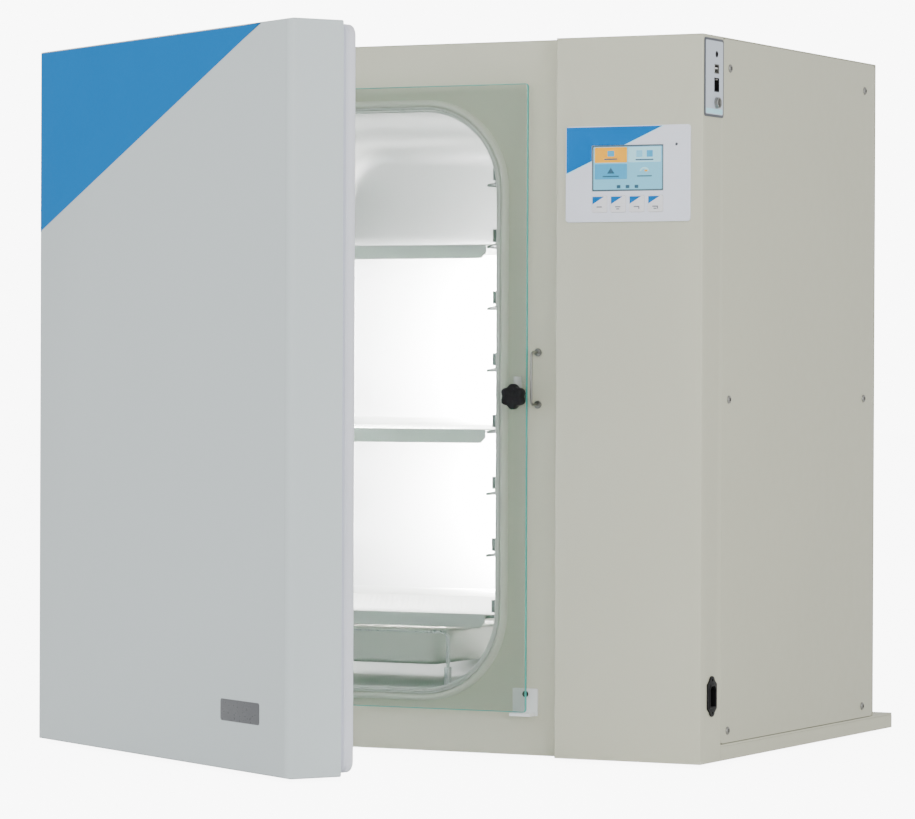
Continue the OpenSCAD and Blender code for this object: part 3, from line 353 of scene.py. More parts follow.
class Shape:
    """Collects closed bodies in one mesh, then makes it a piece."""

    def __init__(self):
        self.bm = bmesh.new()

    def skin(self, rings, caps=True, loop=False, index=0):
        """Joins rings of equally many points; caps close the two ends, loop joins last to first."""
        rows = [[self.bm.verts.new(p) for p in ring] for ring in rings]
        n = len(rows[0])
        pairs = list(zip(rows, rows[1:] + ([rows[0]] if loop else [])))
        made = []
        for a, b in pairs[:len(rows) if loop else len(rows) - 1]:
            for i in range(n):
                j = (i + 1) % n
                made.append(self.bm.faces.new((a[i], a[j], b[j], b[i])))
        if caps and not loop:
            made.append(self.bm.faces.new(rows[0]))
            made.append(self.bm.faces.new(rows[-1]))
        for face in made:
            face.material_index = index
        bmesh.ops.recalc_face_normals(self.bm, faces=made)
        return made

    def stack(self, place, w, h, r, stations, loop=False, index=0, per_corner=8):
        """A round-cornered body from stations of (growth, depth) or (growth u, growth v, depth)."""
        rings = []
        for station in stations:
            gu, gv, d = station if len(station) == 3 else (station[0], station[0], station[1])
            outline = round_rect(w + 2 * gu, h + 2 * gv, r + min(gu, gv), per_corner)
            rings.append([place(u, v, d) for u, v in outline])
        return self.skin(rings, loop=loop, index=index)

    def plate(self, place, w, h, r, front, back, edge, index=0):
        return self.stack(place, w, h, r, rounded_edge(front, back, edge), index=index)

    def box(self, low, high, edge=0.4 * MM, index=0):
        """A box with all its edges rounded."""
        low, high = Vector(low), Vector(high)
        size, middle = high - low, (low + high) / 2
        made = bmesh.ops.create_cube(self.bm, size=1)["verts"]
        bmesh.ops.scale(self.bm, vec=size, verts=made)
        bmesh.ops.translate(self.bm, vec=middle, verts=made)
        edges = list({e for v in made for e in v.link_edges})
        edge = min(edge, 0.45 * min(size))
        result = bmesh.ops.bevel(self.bm, geom=edges, offset=edge, segments=2, profile=0.5,
                                 affect="EDGES")
        for face in {f for v in result["verts"] for f in v.link_faces}:
            face.material_index = index
        return self

    def lathe(self, origin, axis, profile, sides=32, index=0):
        """A body turned about a line: profile holds (radius, distance along axis)."""
        axis = Vector(axis).normalized()
        u = axis.orthogonal().normalized()
        v = axis.cross(u)
        turn = [2 * math.pi * i / sides for i in range(sides)]
        rings = []
        for r, d in profile:
            r, hub = max(r, 0.01 * MM), Vector(origin) + axis * d
            rings.append([hub + (u * math.cos(a) + v * math.sin(a)) * r for a in turn])
        self.skin(rings, index=index)
        return self

    def tube(self, points, r, sides=12, index=0):
        """A round rod along points."""
        points = [Vector(p) for p in points]
        turn = [2 * math.pi * k / sides for k in range(sides)]
        rings = []
        normal = None
        for i, p in enumerate(points):
            along = (points[min(i + 1, len(points) - 1)] - points[max(i - 1, 0)]).normalized()
            if normal is None:
                normal = along.orthogonal().normalized()
            normal = (normal - along * normal.dot(along)).normalized()
            side = along.cross(normal)
            rings.append([p + (normal * math.cos(a) + side * math.sin(a)) * r for a in turn])
        self.skin(rings, index=index)
        return self

    def extrude(self, place, outline, front, back, index=0):
        """A straight body with any outline."""
        self.skin([[place(u, v, d) for u, v in outline] for d in (front, back)], index=index)
        return self

    def piece(self, name, materials, body, slot, replaces=(), smooth=35, matrix=STILL):
        self.bm.transform(matrix)
        return dress(to_object(self.bm, name), materials, body, replaces, smooth)


def dress(obj, materials, body, replaces=(), smooth=35):
    """Gives a new object its materials, smooth shading and its place in the part."""
    link(obj)
    materials = materials if isinstance(materials, (list, tuple)) else [materials]
    for mat in materials:
        obj.data.materials.append(mat)
    obj.data.shade_smooth()
    obj.data.set_sharp_from_angle(angle=math.radians(smooth))
    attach(obj, body)
    if replaces:
        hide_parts(*replaces)
    return obj


def apply_modifiers(obj):
    """Bakes an object's modifiers into its mesh."""
    graph = bpy.context.evaluated_depsgraph_get()
    mesh = bpy.data.meshes.new_from_object(obj.evaluated_get(graph))
    obj.modifiers.clear()
    obj.data = mesh


def cut_away(obj, cutter, smooth=35):
    """Subtracts a Shape from an object, then marks its sharp edges again unless smooth is None."""
    tool = to_object(cutter.bm, "cutter")
    link(tool)
    modifier = obj.modifiers.new("cut", "BOOLEAN")
    modifier.object = tool
    modifier.operation = "DIFFERENCE"
    modifier.solver = "EXACT"
    modifier.use_self = True
    apply_modifiers(obj)
    bpy.data.objects.remove(tool)
    if smooth:
        obj.data.set_sharp_from_angle(angle=math.radians(smooth))


def refined(node, material, edge=0.3 * MM, segments=2):
    """A CAD node's shape with its sharp edges rounded, in place of the node."""
    bm = bmesh.new()
    bm.from_mesh(NODES[node].data)
    bmesh.ops.remove_doubles(bm, verts=bm.verts, dist=0.001 * MM)
    bmesh.ops.dissolve_limit(bm, angle_limit=math.radians(0.5), verts=bm.verts, edges=bm.edges)
    turn = math.radians(40)
    sharp = [e for e in bm.edges if len(e.link_faces) == 2 and e.calc_face_angle(0) > turn]
    bmesh.ops.bevel(bm, geom=sharp, offset=edge, segments=segments, profile=0.5, affect="EDGES",
                    clamp_overlap=True)
    return dress(to_object(bm, node + "_finished"), material, NODES[node]["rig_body"], [node])


def keep(node, material):
    """A CAD node that stays as it is, with its finish."""
    mesh = NODES[node].data
    mesh.materials.clear()
    mesh.materials.append(material)
    mesh.shade_smooth()
    mesh.set_sharp_from_angle(angle=math.radians(35))


def arc(middle, r, start, end, steps=6):
    """Points on an arc in a plane, angles in degrees."""
    turn = [math.radians(start + (end - start) * i / steps) for i in range(steps + 1)]
    return [(middle[0] + r * math.cos(a), middle[1] + r * math.sin(a)) for a in turn]


def offset(outline, d):
    """Moves every side of an anticlockwise outline outwards by d."""
    n = len(outline)
    moved = []
    for i in range(n):
        a, b, c = (Vector(outline[(i + k) % n]) for k in (-1, 0, 1))
        e, f = (b - a).normalized(), (c - b).normalized()
        out_e, out_f = Vector((e.y, -e.x)), Vector((f.y, -f.x))
        turn = (out_e + out_f) / max(0.2, 1 + out_e.dot(out_f))
        moved.append(tuple(b + turn * d))
    return moved


def slab(shape, place, outline, front, back, edge, index=0):
    """A plate of any convex outline with rounded rims on both faces."""
    way = 1 if back > front else -1
    stations = [(-edge, front), (-0.3 * edge, front + 0.3 * way * edge), (0, front + way * edge),
                (0, back - way * edge), (-0.3 * edge, back - 0.3 * way * edge), (-edge, back)]
    shape.skin([[place(u, v, d) for u, v in offset(outline, g)] for g, d in stations], index=index)


def ring(place, w, h, r, d, per_corner=8):
    return [place(u, v, d) for u, v in round_rect(w, h, r, per_corner)]


def middle(low, high):
    return (low + high) / 2


# ---- outer door ------------------------------------------------------------------------------

SHEET = 1.2 * MM
DOOR_MID = middle(SHELL, SHELL_HIGH)
DOOR_W, DOOR_H = SHELL_HIGH.x - SHELL.x, SHELL_HIGH.z - SHELL.z
DOOR_FRONT, DOOR_BACK = SHELL.y, SHELL_HIGH.y
DOOR_EDGE_R = 9 * MM
TOP_EDGE_R = 3 * MM


def door_shell():
    """A folded steel tray: rounded front edges, thin walls and an open back."""
    place = facing_y(DOOR_MID.x, DOOR_MID.z)
    walls = []
    for grow, sheet, steps in ((-SHEET, SHEET, 6), (0, 0, 8)):
        rounding = []
        for i in range(steps + 1):
            t = math.pi / 2 * i / steps
            short = 1 - math.sin(t)
            rounding.append((grow - DOOR_EDGE_R * short, grow - TOP_EDGE_R * short,
                             DOOR_FRONT + sheet + DOOR_EDGE_R * (1 - math.cos(t))))
        rounding.append((grow, grow, DOOR_BACK))
        walls += rounding if grow else rounding[::-1]
    shape = Shape()
    shape.stack(place, DOOR_W, DOOR_H, 3 * MM, walls)
    shape.piece("door_skin", DOOR_PAINT, "outer_door", "door_paint", ["door_shell"], 30, DOOR)


def door_inner_panel():
    """The pressed inner panel: a flat flange round a recess with soft corners."""
    low, high = box_in("door_inner_panel", DOOR)
    mid = middle(low, high)
    w, h = high.x - low.x, high.z - low.z
    left_rim, right_rim, top = 32 * MM, 26 * MM, 28 * MM
    left, right = SHELL.x + left_rim, SHELL_HIGH.x - right_rim
    rw, rh, rr = right - left, DOOR_H - 2 * top, 18 * MM
    door = facing_y(mid.x, mid.z)
    hollow = facing_y((left + right) / 2, mid.z)
    floor, lip = 7 * MM, 3.5 * MM
    inside = [(-floor, low.y + SHEET), (-0.3 * floor, low.y + SHEET + 0.3 * floor),
              (0, low.y + SHEET + floor), (0, high.y - lip), (0.3 * lip, high.y - 0.3 * lip), (lip, high.y)]
    rings = [ring(hollow, rw + 2 * g, rh + 2 * g, rr + g, d) for g, d in inside]
    rings += [ring(door, w, h, 3 * MM, high.y), ring(door, w, h, 3 * MM, high.y - SHEET)]
    outside = [(lip + SHEET, high.y - SHEET), (SHEET, high.y - lip - SHEET), (SHEET, low.y + floor),
               (0, low.y + 0.3 * floor), (-floor, low.y)]
    rings += [ring(hollow, rw + 2 * g, rh + 2 * g, rr + g, d) for g, d in outside]
    shape = Shape()
    shape.skin(rings)
    shape.piece("door_lining", INNER_PAINT, "outer_door", "inner_door_paint", ["door_inner_panel"],
                30, DOOR)


def frame_seal(name, outline_of, profile, material, body, slot, replaces, matrix=STILL):
    """A seal that runs round a rounded rectangle: profile holds (offset outwards, depth)."""
    shape = Shape()
    shape.skin([outline_of(o, d) for o, d in profile], loop=True)
    shape.piece(name, material, body, slot, replaces, 40, matrix)


def door_gasket():
    """The push-in door seal: a foot, a folded bellows and a flat magnetic face."""
    low, high = box_in("door_gasket", DOOR)
    mid = middle(low, high)
    w, h, width, depth = high.x - low.x, high.z - low.z, 17, high.y - low.y
    place = facing_y(mid.x, mid.z)
    section = [(3.5, 0), (13.5, 0), (13.5, .16), (17, .28), (15.4, .40), (17, .52), (16.6, .86),
               (15.8, .95), (14, 1), (3, 1), (1.2, .95), (.4, .86), (0, .52), (1.6, .40), (0, .28),
               (3.5, .16)]

    def outline(o, d):
        inset = (width - o) * MM
        return ring(place, w - 2 * inset, h - 2 * inset, 14 * MM - 0.55 * inset, low.y + d * depth)

    frame_seal("door_bellows_seal", outline, section, SEAL_RUBBER, "outer_door", "door_seal",
               ["door_gasket"], DOOR)


def door_decal():
    """Printed film in the door's upper corner, wrapped round the rounded edge."""
    low, high = box_in("door_decal", DOOR)
    lift, thick = 0.25 * MM, 0.2 * MM
    run, drop = high.x - low.x, high.z - low.z
    wrap, steps, ahead = 16, 6, Vector((0, -1))
    columns = []
    for i in range(steps + 1):
        t = math.radians(wrap + (90 - wrap) * i / steps)
        c, s = math.cos(t), math.sin(t)
        columns.append((SHELL.x + DOOR_EDGE_R * (1 - c), DOOR_FRONT + DOOR_EDGE_R * (1 - s),
                        Vector((-c, -s))))
    columns += [(low.x + run * k / 12, DOOR_FRONT, ahead) for k in range(1, 12)]
    columns.append((high.x - 2 * MM, DOOR_FRONT, ahead))
    rings = []
    for x, y, out in columns:
        bottom = high.z - drop + drop * (x - low.x) / run
        top = high.z - 1.5 * MM
        near, far = Vector((x, y)) + out * lift, Vector((x, y)) + out * (lift - thick)
        rings.append([(near.x, near.y, top), (near.x, near.y, bottom), (far.x, far.y, bottom),
                      (far.x, far.y, top)])
    shape = Shape()
    shape.skin(rings)
    shape.piece("door_blue_corner", DOOR_BLUE, "outer_door", "blue_film", ["door_decal"], 40, DOOR)


def door_nameplate():
    """The dark plate low on the door, left blank."""
    low, high = box_in("door_nameplate", DOOR)
    mid = middle(low, high)
    shape = Shape()
    shape.plate(facing_y(mid.x, mid.z), high.x - low.x, high.z - low.z, 3 * MM, low.y, high.y, 0.25 * MM)
    shape.piece("blank_nameplate", NAME_FILM, "outer_door", "black_plastic", ["door_nameplate"], matrix=DOOR)


# ---- cabinet ---------------------------------------------------------------------------------

def rubber_feet():
    """Turned rubber feet with a chamfered tread and a waist."""
    low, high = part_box("feet")
    r, top = 22 * MM, high.z
    xs, ys = (low.x + r, high.x - r), (low.y + r, high.y - r)
    profile = [(15, 0), (18, 0), (20.5, 1.2), (21, 4), (20, 8), (20, 14), (22, 17), (22, top / MM),
               (15, top / MM)]
    shape = Shape()
    for x, y in [(x, y) for x in xs for y in ys] + [(0, 0)]:
        shape.lathe((x, y, 0), (0, 0, 1), mm(profile), 40)
    shape.piece("rubber_feet", FOOT_RUBBER, "cabinet", "rubber_foot", ["feet"])


def column_cover():
    """The control column's folded cover: soft bends, with openings behind its fittings."""
    r, inner = 2.2 * MM, 1.0 * MM
    x0, x1, y0 = COLUMN.x, COLUMN_HIGH.x, COLUMN.y
    left_y, right_y = FASCIA.y + SHEET - 0.3 * MM, COLUMN_HIGH.y
    outer = [(x0, left_y)] + arc((x0 + r, y0 + r), r, 180, 270) + arc((x1 - r, y0 + r), r, 270, 360)
    outer += [(x1, right_y), (x1 - SHEET, right_y)]
    outer += arc((x1 - r, y0 + r), inner, 360, 270) + arc((x0 + r, y0 + r), inner, 270, 180)
    outer.append((x0 + SHEET, left_y))
    shape = Shape()
    shape.skin([[(x, y, z) for x, y in outer] for z in (COLUMN.z, COLUMN_HIGH.z)])
    cover = shape.piece("column_cover_folded", PAINT, "cabinet", "cabinet_paint", ["column_cover"],
                        30)
    side, below, above = 30 * MM, 8 * MM, 18 * MM
    margin, reach = 8 * MM, 3 * MM
    inlet, inlet_w, inlet_h = middle(*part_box("power_inlet")), 11 * MM, 15 * MM
    holes = Shape()
    holes.box((BEZEL.x + side, y0 - reach, BEZEL.z + below),
              (BEZEL_HIGH.x - side, y0 + reach, BEZEL_HIGH.z - above))
    holes.box((x1 - reach, PLATE.y + margin, PLATE.z + margin),
              (x1 + reach, PLATE_HIGH.y - margin, PLATE_HIGH.z - margin))
    holes.box((x1 - reach, inlet.y - inlet_w, inlet.z - inlet_h),
              (x1 + reach, inlet.y + inlet_w, inlet.z + inlet_h))
    cut_away(cover, holes, 30)


def side_cover():
    """The screwed-on side cover: round corners and a folded, slightly soft rim."""
    low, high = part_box("side_cover")
    mid = middle(low, high)
    shape = Shape()
    shape.plate(facing_x(mid.y, mid.z), high.y - low.y, high.z - low.z, 6 * MM, high.x, low.x, 0.8 * MM)
    shape.piece("side_cover_panel", PAINT, "cabinet", "cabinet_paint", ["side_cover"])


def screw_places(node, axis, head):
    """Middles of the heads in a node of screws, found from the points on its outermost faces."""
    k = "xyz".index(axis)
    mesh = NODES[node].data
    far = max(v.co[k] for v in mesh.vertices)
    tops = [v.co.copy() for v in mesh.vertices if far - v.co[k] < 0.05 * MM]
    places = []
    for p in tops:
        near = [q for q in places if (q[0] - p).length < 3 * head]
        if near:
            near[0][1].append(p)
        else:
            places.append((p, [p]))
    spans = []
    for _, group in places:
        spans.append(Vector([(min(p[i] for p in group) + max(p[i] for p in group)) / 2 for i in range(3)]))
    return spans


def crossed_screws(name, node, axis, slot, r=5 * MM, h=2.4 * MM):
    """Domed screw heads with a cross recess."""
    places = screw_places(node, axis, r)
    along = Vector([1 if c == axis else 0 for c in "xyz"])
    shape, cutter = Shape(), Shape()
    dome = [(0.5 * r, -h - 4 * MM), (0.5 * r, -h), (r, -h), (r, -0.75 * h), (0.93 * r, -0.45 * h),
            (0.75 * r, -0.18 * h), (0.5 * r, -0.05 * h), (0.2 * r, 0)]
    u, v = [Vector([1 if i == k else 0 for i in range(3)]) for k in range(3) if "xyz"[k] != axis]
    for p in places:
        shape.lathe(p, along, dome, 28)
        for a, b in ((u + v, u - v), (u - v, u + v)):
            a, b = a.normalized() * 0.55 * r, b.normalized() * 0.13 * r
            rings = [[p + along * d + s * a + t * b for s, t in ((1, 1), (-1, 1), (-1, -1), (1, -1))]
                     for d in (-0.6 * h, 0.5 * h)]
            cutter.skin(rings)
    # the heads' darkened steel is partly painted shade
    made = shape.piece(name, SCREW_STEEL, "cabinet", slot, [node])
    cut_away(made, cutter)


# ---- chamber ---------------------------------------------------------------------------------

BACK_R, FLOOR_R = 45 * MM, 8.5 * MM


def round_in(depth, r):
    """How far a wall has turned in at a distance from its back, for a corner of radius r."""
    return 0 if depth > r else r - math.sqrt(max(0, r * r - (r - depth) ** 2))


def chamber_liner():
    """The pressed chamber: a rolled front lip, and corners that turn into the back wall."""
    def section(grow, y, back):
        side, floor = round_in(back - y, BACK_R), round_in(back - y, FLOOR_R)
        w = CHAMBER_W + 2 * (grow - side)
        h = CHAMBER_H + 2 * grow - side - floor
        place = facing_y(CHAMBER_X, CHAMBER_Z + (floor - side) / 2)
        return ring(place, w, h, CORNER_R + grow - side, y, 12)

    depths = [0, 0.3, 1.2, 2.8, 5, 8.5, 13, 19, 27, 36, 45]
    shape = Shape()
    rings = [section(LINER_T, CHAMBER_BACK + LINER_T - d * MM, CHAMBER_BACK + LINER_T) for d in depths]
    lip = LINER.y
    rolled = [(1, 0.8), (0.8, 0.2), (0.5, 0), (0.2, 0.2), (0, 0.8)]
    rings += [section(g * LINER_T, lip + d * MM, CHAMBER_BACK) for g, d in rolled]
    rings += [section(0, CHAMBER_BACK - d * MM, CHAMBER_BACK) for d in reversed(depths)]
    shape.skin(rings)
    shape.piece("chamber_pressing", STEEL, "cabinet", "stainless", ["chamber_liner"], 30)


def chamber_gasket():
    """The silicone bead that the glass closes on, with two bright trim lips inside it."""
    low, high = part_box("chamber_gasket")
    depth = low.y - high.y
    place = facing_y(CHAMBER_X, CHAMBER_Z)
    start = LINER_T + 0.3 * MM
    bead = [(5.2, 0), (14, 0), (14, .25), (13.7, .5), (12.8, .75), (11.4, .92), (9.8, 1), (8.2, .95),
            (6.8, .8), (5.8, .55), (5.2, .35)]
    trim = [(0, 0), (5, 0), (5, .6), (4.7, .85), (4, .95), (3.3, .88), (2.9, .55), (2.6, .45),
            (2.3, .55), (2, .8), (1.2, .92), (.4, .8), (0, .5)]

    def outline(o, d):
        grow = start + o * MM
        w, h = CHAMBER_W + 2 * grow, CHAMBER_H + 2 * grow
        return ring(place, w, h, CORNER_R + grow, high.y + d * depth, 12)

    frame_seal("chamber_bead", outline, bead, BEAD_RUBBER, "cabinet", "seal_rubber", ["chamber_gasket"])
    frame_seal("chamber_trim_lips", outline, trim, TRIM_WHITE, "cabinet", "seal_rubber", [])


def runners(side, node):
    """Eight folded runners: a leg with a turned front end, a rounded bend and a ledge turned down."""
    low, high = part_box(node)
    legs, pitch, leg, drop = 8, 77.5 * MM, 20 * MM, 3.4 * MM
    outer = low.x if side < 0 else high.x
    t, ledge, b = 1.6 * MM, 14 * MM, 2 * MM
    tab, tab_z, tab_lap = 6 * MM, 4 * MM, 0.2 * MM
    profile = [(0, leg), (0, b)] + arc((b, b), b, 180, 270, 4) + [(ledge - b, 0)]
    profile += arc((ledge - b, -b), b, 90, 0, 4)[1:-1]
    profile += [(ledge - 0.1 * MM, -drop), (ledge - t, -drop), (ledge - t, -b), (ledge - b, -t)]
    profile = [(a, c - 0.4 * MM) for a, c in profile]
    profile += [(b + 0.5 * MM, t - 0.4 * MM), (t, b + t), (t, leg)]
    shape = Shape()
    for i in range(legs):
        z = low.z + 1.5 * MM + i * pitch
        rings = [[(outer - side * a, y, z + c) for a, c in profile] for y in (low.y, high.y)]
        shape.skin(rings)
        x0, x1 = sorted((outer - side * tab_lap, outer - side * tab))
        shape.box((x0, low.y, z + tab_z), (x1, low.y + t, z + leg), 0.3 * MM)
    # near-black steel: painted shade and painted reflection
    shape.piece(node + "_folded", SHADED_RUNNER_STEEL, "cabinet", "stainless", [node], 30)


def perforated(shape, low, high, pitch, r, margin):
    """A flat sheet with a field of round holes."""
    def stops(a, b):
        n = max(1, round((b - a - 2 * margin) / pitch))
        start = (a + b) / 2 - n * pitch / 2
        return [a] + [start + i * pitch for i in range(n + 1)] + [b]

    xs, ys = stops(low.x, high.x), stops(low.y, high.y)
    bm = shape.bm
    cache = {}

    def vert(x, y, z):
        key = (round(x, 6), round(y, 6), round(z, 6))
        if key not in cache:
            cache[key] = bm.verts.new((x, y, z))
        return cache[key]

    made = []

    def wall(points, closed=False):
        ends = points + points[:1] if closed else points
        for p, q in zip(ends, ends[1:]):
            made.append(bm.faces.new([vert(*p, low.z), vert(*q, low.z), vert(*q, high.z),
                                      vert(*p, high.z)]))

    def halved(marks):
        return [m for a, b in zip(marks, marks[1:]) for m in (a, (a + b) / 2)] + marks[-1:]

    for i in range(len(xs) - 1):
        for j in range(len(ys) - 1):
            a, b, c, d = xs[i], xs[i + 1], ys[j], ys[j + 1]
            mx, my = (a + b) / 2, (c + d) / 2
            rim = [(b, my), (b, d), (mx, d), (a, d), (a, my), (a, c), (mx, c), (b, c)]
            open_cell = 0 < i < len(xs) - 2 and 0 < j < len(ys) - 2
            turn = [k * math.pi / 4 for k in range(8)]
            hole = [(mx + r * math.cos(t), my + r * math.sin(t)) for t in turn]
            for z in (low.z, high.z):
                if not open_cell:
                    made.append(bm.faces.new([vert(x, y, z) for x, y in rim]))
                    continue
                for k in range(8):
                    n = (k + 1) % 8
                    made.append(bm.faces.new([vert(*rim[k], z), vert(*rim[n], z), vert(*hole[n], z),
                                              vert(*hole[k], z)]))
            if open_cell:
                wall(hole, closed=True)
    for x in (xs[0], xs[-1]):
        wall([(x, y) for y in halved(ys)])
    for y in (ys[0], ys[-1]):
        wall([(x, y) for x in halved(xs)])
    bmesh.ops.recalc_face_normals(bm, faces=made)


def shelf(node, body):
    """A perforated shelf with a turned-down front, cut back at its ends, and a raised back edge."""
    low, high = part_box(node)
    lip, back_lip, t = 16 * MM, 12 * MM, 1.5 * MM
    top = high.z - back_lip
    shape = Shape()
    pitch, hole_r, margin = 16 * MM, 3.4 * MM, 18 * MM
    perforated(shape, Vector((low.x, low.y + t, top)), Vector((high.x, high.y - t, top + t)), pitch,
               hole_r, margin)
    mid, half = (low.x + high.x) / 2, (high.x - low.x) / 2
    reach, slope = half - 14 * MM, 7 * MM
    front = [(-reach + slope, -lip), (reach - slope, -lip), (reach, -lip + slope), (reach, 0.4 * MM),
             (half, 0.4 * MM), (half, t), (-half, t), (-half, 0.4 * MM), (-reach, 0.4 * MM),
             (-reach, -lip + slope)]
    place = facing_y(mid, top)
    slab(shape, place, front, low.y, low.y + t, 0.35 * MM)
    rear = [(-reach, 0), (reach, 0), (reach, back_lip - 4 * MM), (reach - 4 * MM, back_lip),
            (-reach + 4 * MM, back_lip), (-reach, back_lip - 4 * MM)]
    slab(shape, place, rear, high.y, high.y - t, 0.35 * MM)
    shape.piece(node + "_perforated", SHELF_STEEL, body, "stainless", [node], 30)


def water_pan():
    """A drawn pan: soft bottom edge, walls that slope out to the top, and a rolled rim."""
    low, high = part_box("water_pan")
    mid = middle(low, high)
    rim = 12 * MM
    w, h, r = high.x - low.x - 2 * rim, high.y - low.y - 2 * rim, 34 * MM
    deep = (high.z - low.z) / MM
    outside = [(-26, 0), (-20, .7), (-14.5, 3.2), (-11, 8), (-9, 15), (0, deep - 5), (1, deep - 2.2),
               (3, deep - 1), (9, deep - 1), (10.6, deep - 1.6), (11, deep - 3.6), (11.9, deep - 3.6),
               (12, deep - 1.8), (11.3, deep - .5), (9.6, deep)]
    inside = [(3, deep), (.4, deep - 1.3), (-1, deep - 5), (-10, 15.4), (-12, 8.8), (-15, 4.3), (-20.2, 1.8),
              (-26, 1.1)]
    shape = Shape()
    stations = [(g * MM, low.z + z * MM) for g, z in outside + inside]
    shape.stack(facing_z(mid.x, mid.y), w, h, r, stations, per_corner=12)
    shape.piece("water_pan_drawn", PAN_STEEL, "cabinet", "stainless", ["water_pan"], 50)


def pan_stand():
    """Two trestles of bent rod on sleeves."""
    low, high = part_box("pan_stand")
    r, sleeve, bend, start = 2.5 * MM, 5 * MM, 9 * MM, 6 * MM
    x0, x1, top = low.x + sleeve, high.x - sleeve, high.z - r
    shape = Shape()
    for y in (low.y + sleeve, high.y - sleeve):
        path = [(x0, y, low.z + start), (x0, y, top - bend - r)]
        path += [(u, y, v) for u, v in arc((x0 + bend, top - bend), bend, 180, 90)]
        path += [(u, y, v) for u, v in arc((x1 - bend, top - bend), bend, 90, 0)]
        path += [(x1, y, top - bend - r), (x1, y, low.z + start)]
        shape.tube(path, r, 14)
        for x in (x0, x1):
            profile = [(3, 0), (4.4, 0), (5, .8), (5, 21.2), (4.4, 22), (2.6, 22)]
            shape.lathe((x, y, low.z), (0, 0, 1), mm(profile), 24)
    shape.piece("pan_trestles", ROD_STEEL, "cabinet", "stainless", ["pan_stand"], 40)


# ---- glass door ------------------------------------------------------------------------------

def glass_pane():
    """Tempered glass with ground edges: the edges are a second, denser finish."""
    mid = middle(GLASS, GLASS_HIGH)
    w, h, r, b = GLASS_HIGH.x - GLASS.x, GLASS_HIGH.z - GLASS.z, 4 * MM, 0.7 * MM
    stations = [(-b, GLASS.y), (0, GLASS.y + b), (0, GLASS_HIGH.y - b), (-b, GLASS_HIGH.y)]
    shape = Shape()
    made = shape.stack(facing_y(mid.x, mid.z), w, h, r, stations, index=1)
    for face in made[-2:]:
        face.material_index = 0
    shape.piece("glass_sheet", [GLASS_FACE, GLASS_EDGE], "glass_door", "clear_glass", ["glass_pane"])


def star_knob():
    """A moulded six-lobed knob: crowned front, soft rims, a skirt and a shaft."""
    low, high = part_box("latch_knob")
    bush, bush_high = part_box("latch_bush")
    x, z, r = (bush.x + bush_high.x) / 2, (bush.z + bush_high.z) / 2, (high.z - low.z) / 2
    front, back = low.y, low.y + 14 * MM
    sides, lobes, root, rise = 96, 6, 0.80, 0.17

    def star(scale, depth):
        points = []
        for i in range(sides):
            a = 2 * math.pi * i / sides
            lobe = 0.5 + 0.5 * math.cos(lobes * (a - math.radians(30)))
            rr = r * (root + rise * lobe ** 0.8) * scale
            points.append((x + rr * math.cos(a), depth, z + rr * math.sin(a)))
        return points

    stations = [(0.05, 1.1), (0.42, 0.9), (0.5, 0.2), (0.72, 0.0), (0.88, 0.5), (0.96, 1.6), (1.0, 3.2),
                (1.0, 11.4), (0.97, 13.0), (0.90, 13.8), (0.60, 14.0)]
    shape = Shape()
    shape.skin([star(s, front + d * MM) for s, d in stations])
    skirt = [(9, 0), (7.6, 2.2), (7.2, 4.4), (8, 5.6)]
    shape.lathe((x, back - MM, z), (0, 1, 0), mm(skirt), 32)
    end, shaft_r = high.y - back, 4 * MM
    shape.lathe((x, back, z), (0, 1, 0), [(shaft_r, 0), (shaft_r, end - 0.5 * MM), (3.4 * MM, end)], 24)
    shape.piece("star_knob", KNOB_BLACK, "latch", "black_plastic", ["latch_knob"], 50)


def keeper():
    """A bail of bent rod on two round feet."""
    low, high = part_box("keeper_wire")
    r, bend, foot = 1.6 * MM, 5 * MM, 5 * MM
    x, y = (low.x + high.x) / 2, low.y + r
    z0, z1 = low.z + foot, high.z - foot
    corners = arc((y + bend, z0 + bend), bend, 270, 180) + arc((y + bend, z1 - bend), bend, 180, 90)
    path = [(x, high.y - MM, z0), (x, y + bend + MM, z0)] + [(x, u, v) for u, v in corners]
    path += [(x, y + bend + MM, z1), (x, high.y - MM, z1)]
    shape = Shape()
    shape.tube(path, r, 14)
    for z in (z0, z1):
        shape.lathe((x, high.y, z), (0, -1, 0), mm([(4.6, 0), (5, 0.5), (5, 2.2), (4.3, 3), (2, 3.3)]), 28)
    shape.piece("keeper_bail", KEEPER_STEEL, "cabinet", "bright_metal", ["keeper_wire"], 40)


# ---- control panel ---------------------------------------------------------------------------

KEYS = ["key_1", "key_2", "key_3", "key_4"]


def bezel_openings():
    """A cutter with the openings for the display and the four keys."""
    holes = Shape()
    gap, reach = 0.25 * MM, 6 * MM
    for node in ["display_screen"] + KEYS:
        low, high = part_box(node)
        corner = 0.2 * MM if node == "display_screen" else 1.8 * MM
        holes.box((low.x - gap, BEZEL.y - reach, low.z - gap),
                  (high.x + gap, BEZEL_HIGH.y + reach, high.z + gap), corner)
    return holes


